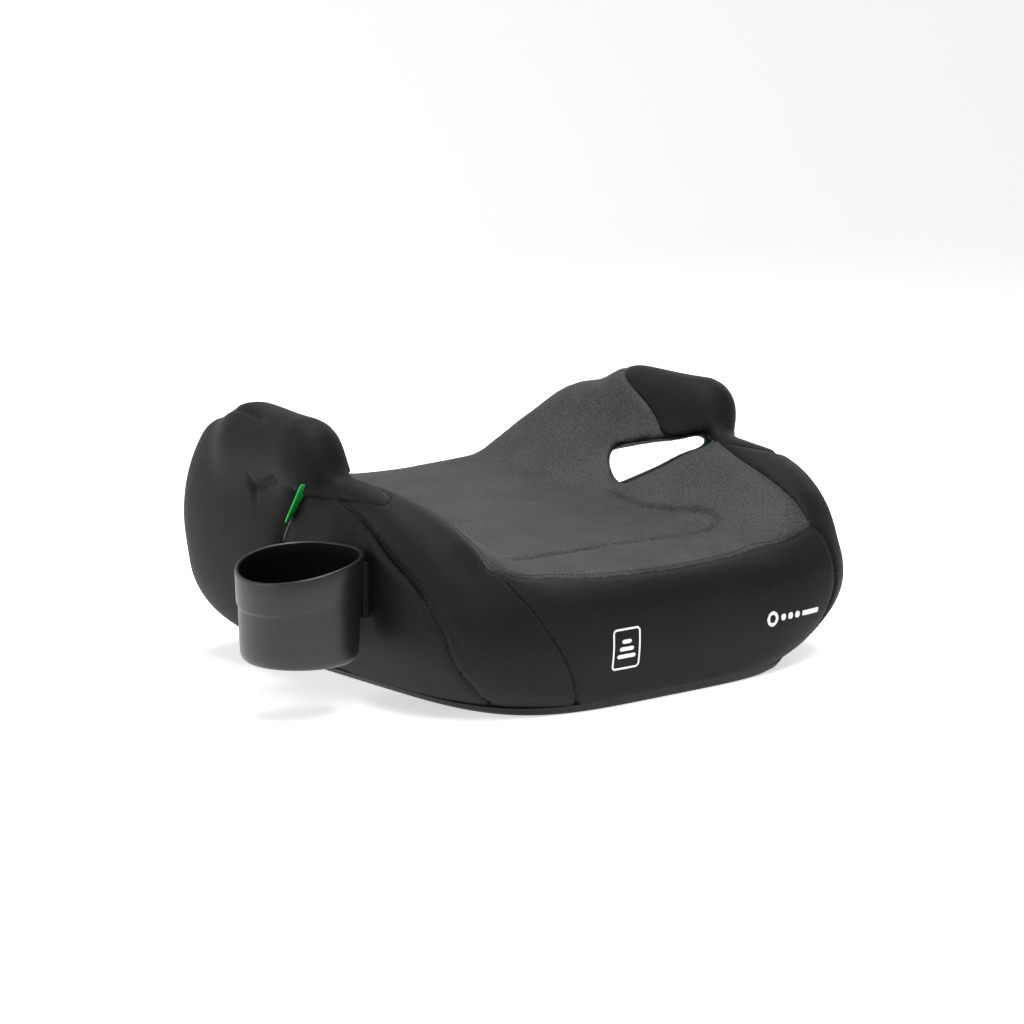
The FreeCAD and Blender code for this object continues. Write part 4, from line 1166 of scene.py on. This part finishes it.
@dataclass
class FrontPrint:
    """Two plain printed marks on the front panel: a framed seat sign and a row of dots."""

    cover: PaddedCover
    palette: Palette
    proud: float = 0.35
    cell: float = 0.5

    @staticmethod
    def frame_mask(x: Array, z: Array) -> Array:
        """Return where ink lies in a rounded frame around three stacked bars."""
        corner = np.hypot(np.maximum(np.abs(x) - 9.5, 0), np.maximum(np.abs(z) - 11.5, 0))
        frame = (corner < 4.0) & (corner > 2.7) | ((np.abs(x) < 9.5) & (np.abs(np.abs(z) - 14.85) < 0.65))
        frame |= (np.abs(z) < 11.5) & (np.abs(np.abs(x) - 12.85) < 0.65)
        bars = np.zeros_like(frame)
        for middle, half in ((5.5, 3.2), (0.0, 5.6), (-5.5, 7.6)):
            bars |= np.hypot(np.maximum(np.abs(x) - half, 0), z - middle) < 1.35
        return frame | bars

    @staticmethod
    def row_mask(x: Array, z: Array) -> Array:
        """Return where ink lies in a ring followed by a row of dots and a dash."""
        ink = np.abs(np.hypot(x + 24, z) - 4.6) < 1.3
        for i in range(3):
            ink |= np.hypot(x + 12 - i * 8, z) < 2.6
        return ink | (np.hypot(np.maximum(np.abs(x - 20) - 8, 0), z) < 2.2)

    def mark(self, name: str, mask: Callable[[Array, Array], Array], x: float, z: float,
            half: tuple[float, float]) -> Object:
        """Lay one mark on the front panel.

        Args:
            name: the piece's name.
            mask: tells where ink lies.
            x: the mark's middle across, in mm.
            z: the mark's middle height, in mm.
            half: half its width and height, in mm.

        Returns:
            The printed piece, a hair proud of the fabric.
        """
        across = np.arange(-half[0], half[0] + self.cell, self.cell)
        up = np.arange(-half[1], half[1] + self.cell, self.cell)
        places, faces = {}, []

        def corner(i: int, k: int) -> Optional[int]:
            """Return the number of a grid corner laid on the fabric."""
            if (i, k) not in places:
                hit = self.search.ray_cast(Vector((x + across[i], -300, z + up[k])), Vector((0, 1, 0)))
                places[i, k] = (len(places), hit[0] + hit[1] * self.proud)
            return places[i, k][0]

        for i in range(len(across) - 1):
            for k in range(len(up) - 1):
                if mask(np.array(across[i] + self.cell / 2), np.array(up[k] + self.cell / 2)):
                    faces.append([corner(i, k), corner(i + 1, k), corner(i + 1, k + 1), corner(i, k + 1)])
        points = [p for _, p in sorted(places.values(), key=lambda item: item[0])]
        piece = new_object(name, np.array(points), faces, self.palette.print)
        ink = piece.modifiers.new("ink", "SOLIDIFY")
        ink.thickness, ink.offset = 0.3 * MM, -1
        settled(piece)
        return joined(piece, "seat")

    def build(self) -> list[Object]:
        """Make both marks and return them."""
        self.search = self.cover.tree()
        return [
            self.mark("printed_seat_sign", self.frame_mask, -60, 47, (15, 17)),
            self.mark("printed_row_mark", self.row_mask, 116, 49, (31, 7)),
        ]


# ---------------------------------------------------------------- belt guides


@dataclass
class BeltGuides:
    """Smooth green liners that lead the lap belt out of the slots."""

    cover: PaddedCover
    palette: Palette

    def build(self) -> list[Object]:
        """Make a liner for each slot and return them."""
        pieces = []
        for side, node in ((-1, "left_belt_guide"), (1, "right_belt_guide")):
            outline = [(198, 20, 131), (207, 14, 132), (215, 8, 132), (221, 4, 131), (225, 2, 129)]
            upper = [(198, -17, 159), (207, -18, 160), (215, -18, 161), (221, -19, 162), (225, -19, 162)]
            rows = []
            for t in np.linspace(0, 1, 9):
                rows.append([(side * (a[0] * (1 - t) + b[0] * t), a[1] * (1 - t) + b[1] * t,
                    a[2] * (1 - t) + b[2] * t) for a, b in zip(outline, upper)])
            count = len(outline)
            points = np.array([p for row in rows for p in row])
            faces = [
                [r * count + c, r * count + c + 1, (r + 1) * count + c + 1,
                    (r + 1) * count + c] for r in range(8) for c in range(count - 1)
            ]
            piece = new_object("liner_" + node, points, faces, self.palette.green)
            wall = piece.modifiers.new("wall", "SOLIDIFY")
            wall.thickness, wall.offset = 1.8 * MM, 0
            finer = piece.modifiers.new("finer", "SUBSURF")
            finer.levels = finer.render_levels = 2
            settled(piece)
            pieces.append(joined(piece, "seat", node))
        return pieces


# ---------------------------------------------------------------- hard parts, stage


def dress_hard_parts(frame: dict, palette: Palette) -> list[str]:
    """Give every visible rigid part its finish.

    Args:
        frame: the loaded frame.
        palette: the finishes.

    Returns:
        The names of the dressed parts.
    """
    finishes = {
        "base_tray": palette.tray, "anti_slip_strips": palette.rubber,
        "base_screws": palette.screw, "horn_screws": palette.screw, "hem_elastic": palette.elastic,
            "left_guide_rail": palette.latch,
        "right_guide_rail": palette.latch, "left_latch_arm": palette.steel,
            "right_latch_arm": palette.steel,
        "left_hook_pin": palette.steel, "right_hook_pin": palette.steel, "left_latch_hook": palette.steel,
        "right_latch_hook": palette.steel, "left_release_button": palette.button,
            "right_release_button": palette.button,
        "cross_tube": palette.steel, "cup_bracket": palette.latch,
    }
    for name, finish in finishes.items():
        for slot in frame["nodes"][name].material_slots:
            slot.material = finish
    return sorted(finishes)


def open_channels(frame: dict, form: CushionForm, palette: Palette) -> list[Object]:
    """Cut the leaning belt slots through the shell and the horn frames.

    Args:
        frame: the loaded frame.
        form: the padded form, which knows the slots.
        palette: the finishes.

    Returns:
        The cut parts.
    """
    low, high = np.array([-236.0, -130.0, 50.0]), np.array([236.0, 196.0, 216.0])
    step, outside, clear = 4.0, 229.0, 3.5
    x, y, z = grid(low, high, step)
    room = np.maximum(form.slot_gap(x, y, z) - clear, np.abs(x) - outside)
    tool = new_object("slot_room", *surface_net(room, low, step), None)
    pieces = []
    for node in ("seat_shell", "left_horn_frame", "right_horn_frame"):
        mesh = bpy.data.meshes.new_from_object(frame["nodes"][node])
        piece = placed("slotted_" + node, mesh)
        piece.matrix_world = frame["nodes"][node].matrix_world
        cutter = piece.modifiers.new("slot", "BOOLEAN")
        cutter.operation, cutter.solver, cutter.object = "DIFFERENCE", "EXACT", tool
        settled(piece)
        piece.data.materials.clear()
        piece.data.materials.append(palette.shell)
        pieces.append(joined(piece, "seat", node))
    bpy.data.objects.remove(tool)
    return pieces


@dataclass
class Studio:
    """A plain pale floor, soft white light and the camera."""

    turn: float = math.radians(40)
    drop: float = math.radians(10)
    roll: float = math.radians(0.5)
    focal: float = 2700.0
    scale: float = 1.24
    middle: tuple[float, float] = (515.6, 651.9)
    frame_size: float = 1024.0

    def camera(self) -> Object:
        """Place the camera and return it."""
        st, ct, sp, cp = math.sin(self.turn), math.cos(self.turn), math.sin(self.drop), math.cos(self.drop)
        right, up, ahead = Vector((ct, -st, 0)), Vector((st * sp, ct * sp, cp)), Vector((st * cp, ct * cp,
            -sp))
        sr, cr = math.sin(self.roll), math.cos(self.roll)
        right, up = right * cr + up * sr, up * cr - right * sr
        far = self.focal / self.scale
        aside, above = ((m - self.frame_size / 2) / self.scale for m in self.middle)
        place = -ahead * far - right * aside + up * above
        data = bpy.data.cameras.new("camera")
        data.sensor_width, data.lens, data.clip_end = 36, self.focal / self.frame_size * 36, 50
        camera = placed("camera", data)
        camera.matrix_world = Matrix.Translation(place * MM) @ Matrix((right, up,
            -ahead)).transposed().to_4x4()
        bpy.context.scene.camera = camera
        return camera

    def light(self, name: str, place: tuple[float, float, float], size: float, power: float) -> None:
        """Hang one soft lamp that looks at the seat."""
        data = bpy.data.lights.new(name, "AREA")
        data.energy, data.size = power, size
        lamp = placed(name, data)
        lamp.location = place
        lamp.rotation_euler = (Vector((0, 0, 0.1)) - Vector(place)).to_track_quat("-Z", "Y").to_euler()

    def build(self, ground: float) -> None:
        """Lay the floor at a height in metres, hang the lamps and place the camera."""
        material, _, shader = empty_material("matt_white_paper")
        shader.inputs["Base Color"].default_value = (0.93, 0.93, 0.93, 1)
        shader.inputs["Roughness"].default_value = 0.9
        shader.inputs["Emission Color"].default_value = (1, 1, 1, 1)
        shader.inputs["Emission Strength"].default_value = 0.6
        sweep = [(-6, -4, ground), (6, -4, ground), (6, 3, ground), (-6, 3, ground), (-6, 4.5, ground + 4),
            (6, 4.5, ground + 4)]
        floor = new_object("floor", np.array(sweep) / MM, [[0, 1, 2, 3], [3, 2, 5, 4]], material)
        floor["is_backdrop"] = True
        world = bpy.data.worlds.new("studio")
        world.use_nodes = True
        world.node_tree.nodes["Background"].inputs[0].default_value = (1, 1, 1, 1)
        world.node_tree.nodes["Background"].inputs[1].default_value = 0.24
        bpy.context.scene.world = world
        self.light("overhead", (0.1, 0.2, 1.9), 1.0, 24)
        self.light("front_key", (-0.6, -1.4, 2.2), 1.0, 44)
        self.light("left_side", (-1.8, 0.4, 0.9), 0.7, 13)
        self.light("right_rim", (1.6, 0.6, 1.0), 1.0, 6)
        bpy.context.scene.view_settings.view_transform = "Standard"
        self.camera()


def main() -> None:
    """Build the seat's pieces in order and report each one."""
    logging.basicConfig(level=logging.INFO, format="%(message)s")
    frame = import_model()
    cad_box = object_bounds()
    palette = Palette()
    LOG.info("hard parts: %s", ", ".join(dress_hard_parts(frame, palette)))
    form = CushionForm()
    cover = PaddedCover(form, SewingPattern(form), palette)
    builders = [
        lambda: open_channels(frame, form, palette),
        cover.build,
        StitchRows(cover, palette).build,
        FoamSet(form, palette).build,
        BeltGuides(cover, palette).build,
        lambda: [CupHolder(palette).build()],
        FrontPrint(cover, palette).build,
    ]
    for builder in builders:
        for piece in builder():
            LOG.info("%s: %d faces", piece.name, len(piece.data.polygons))
    Studio().build(min(corner[2] for corner in cad_box))


if __name__ == "__main__":
    main()
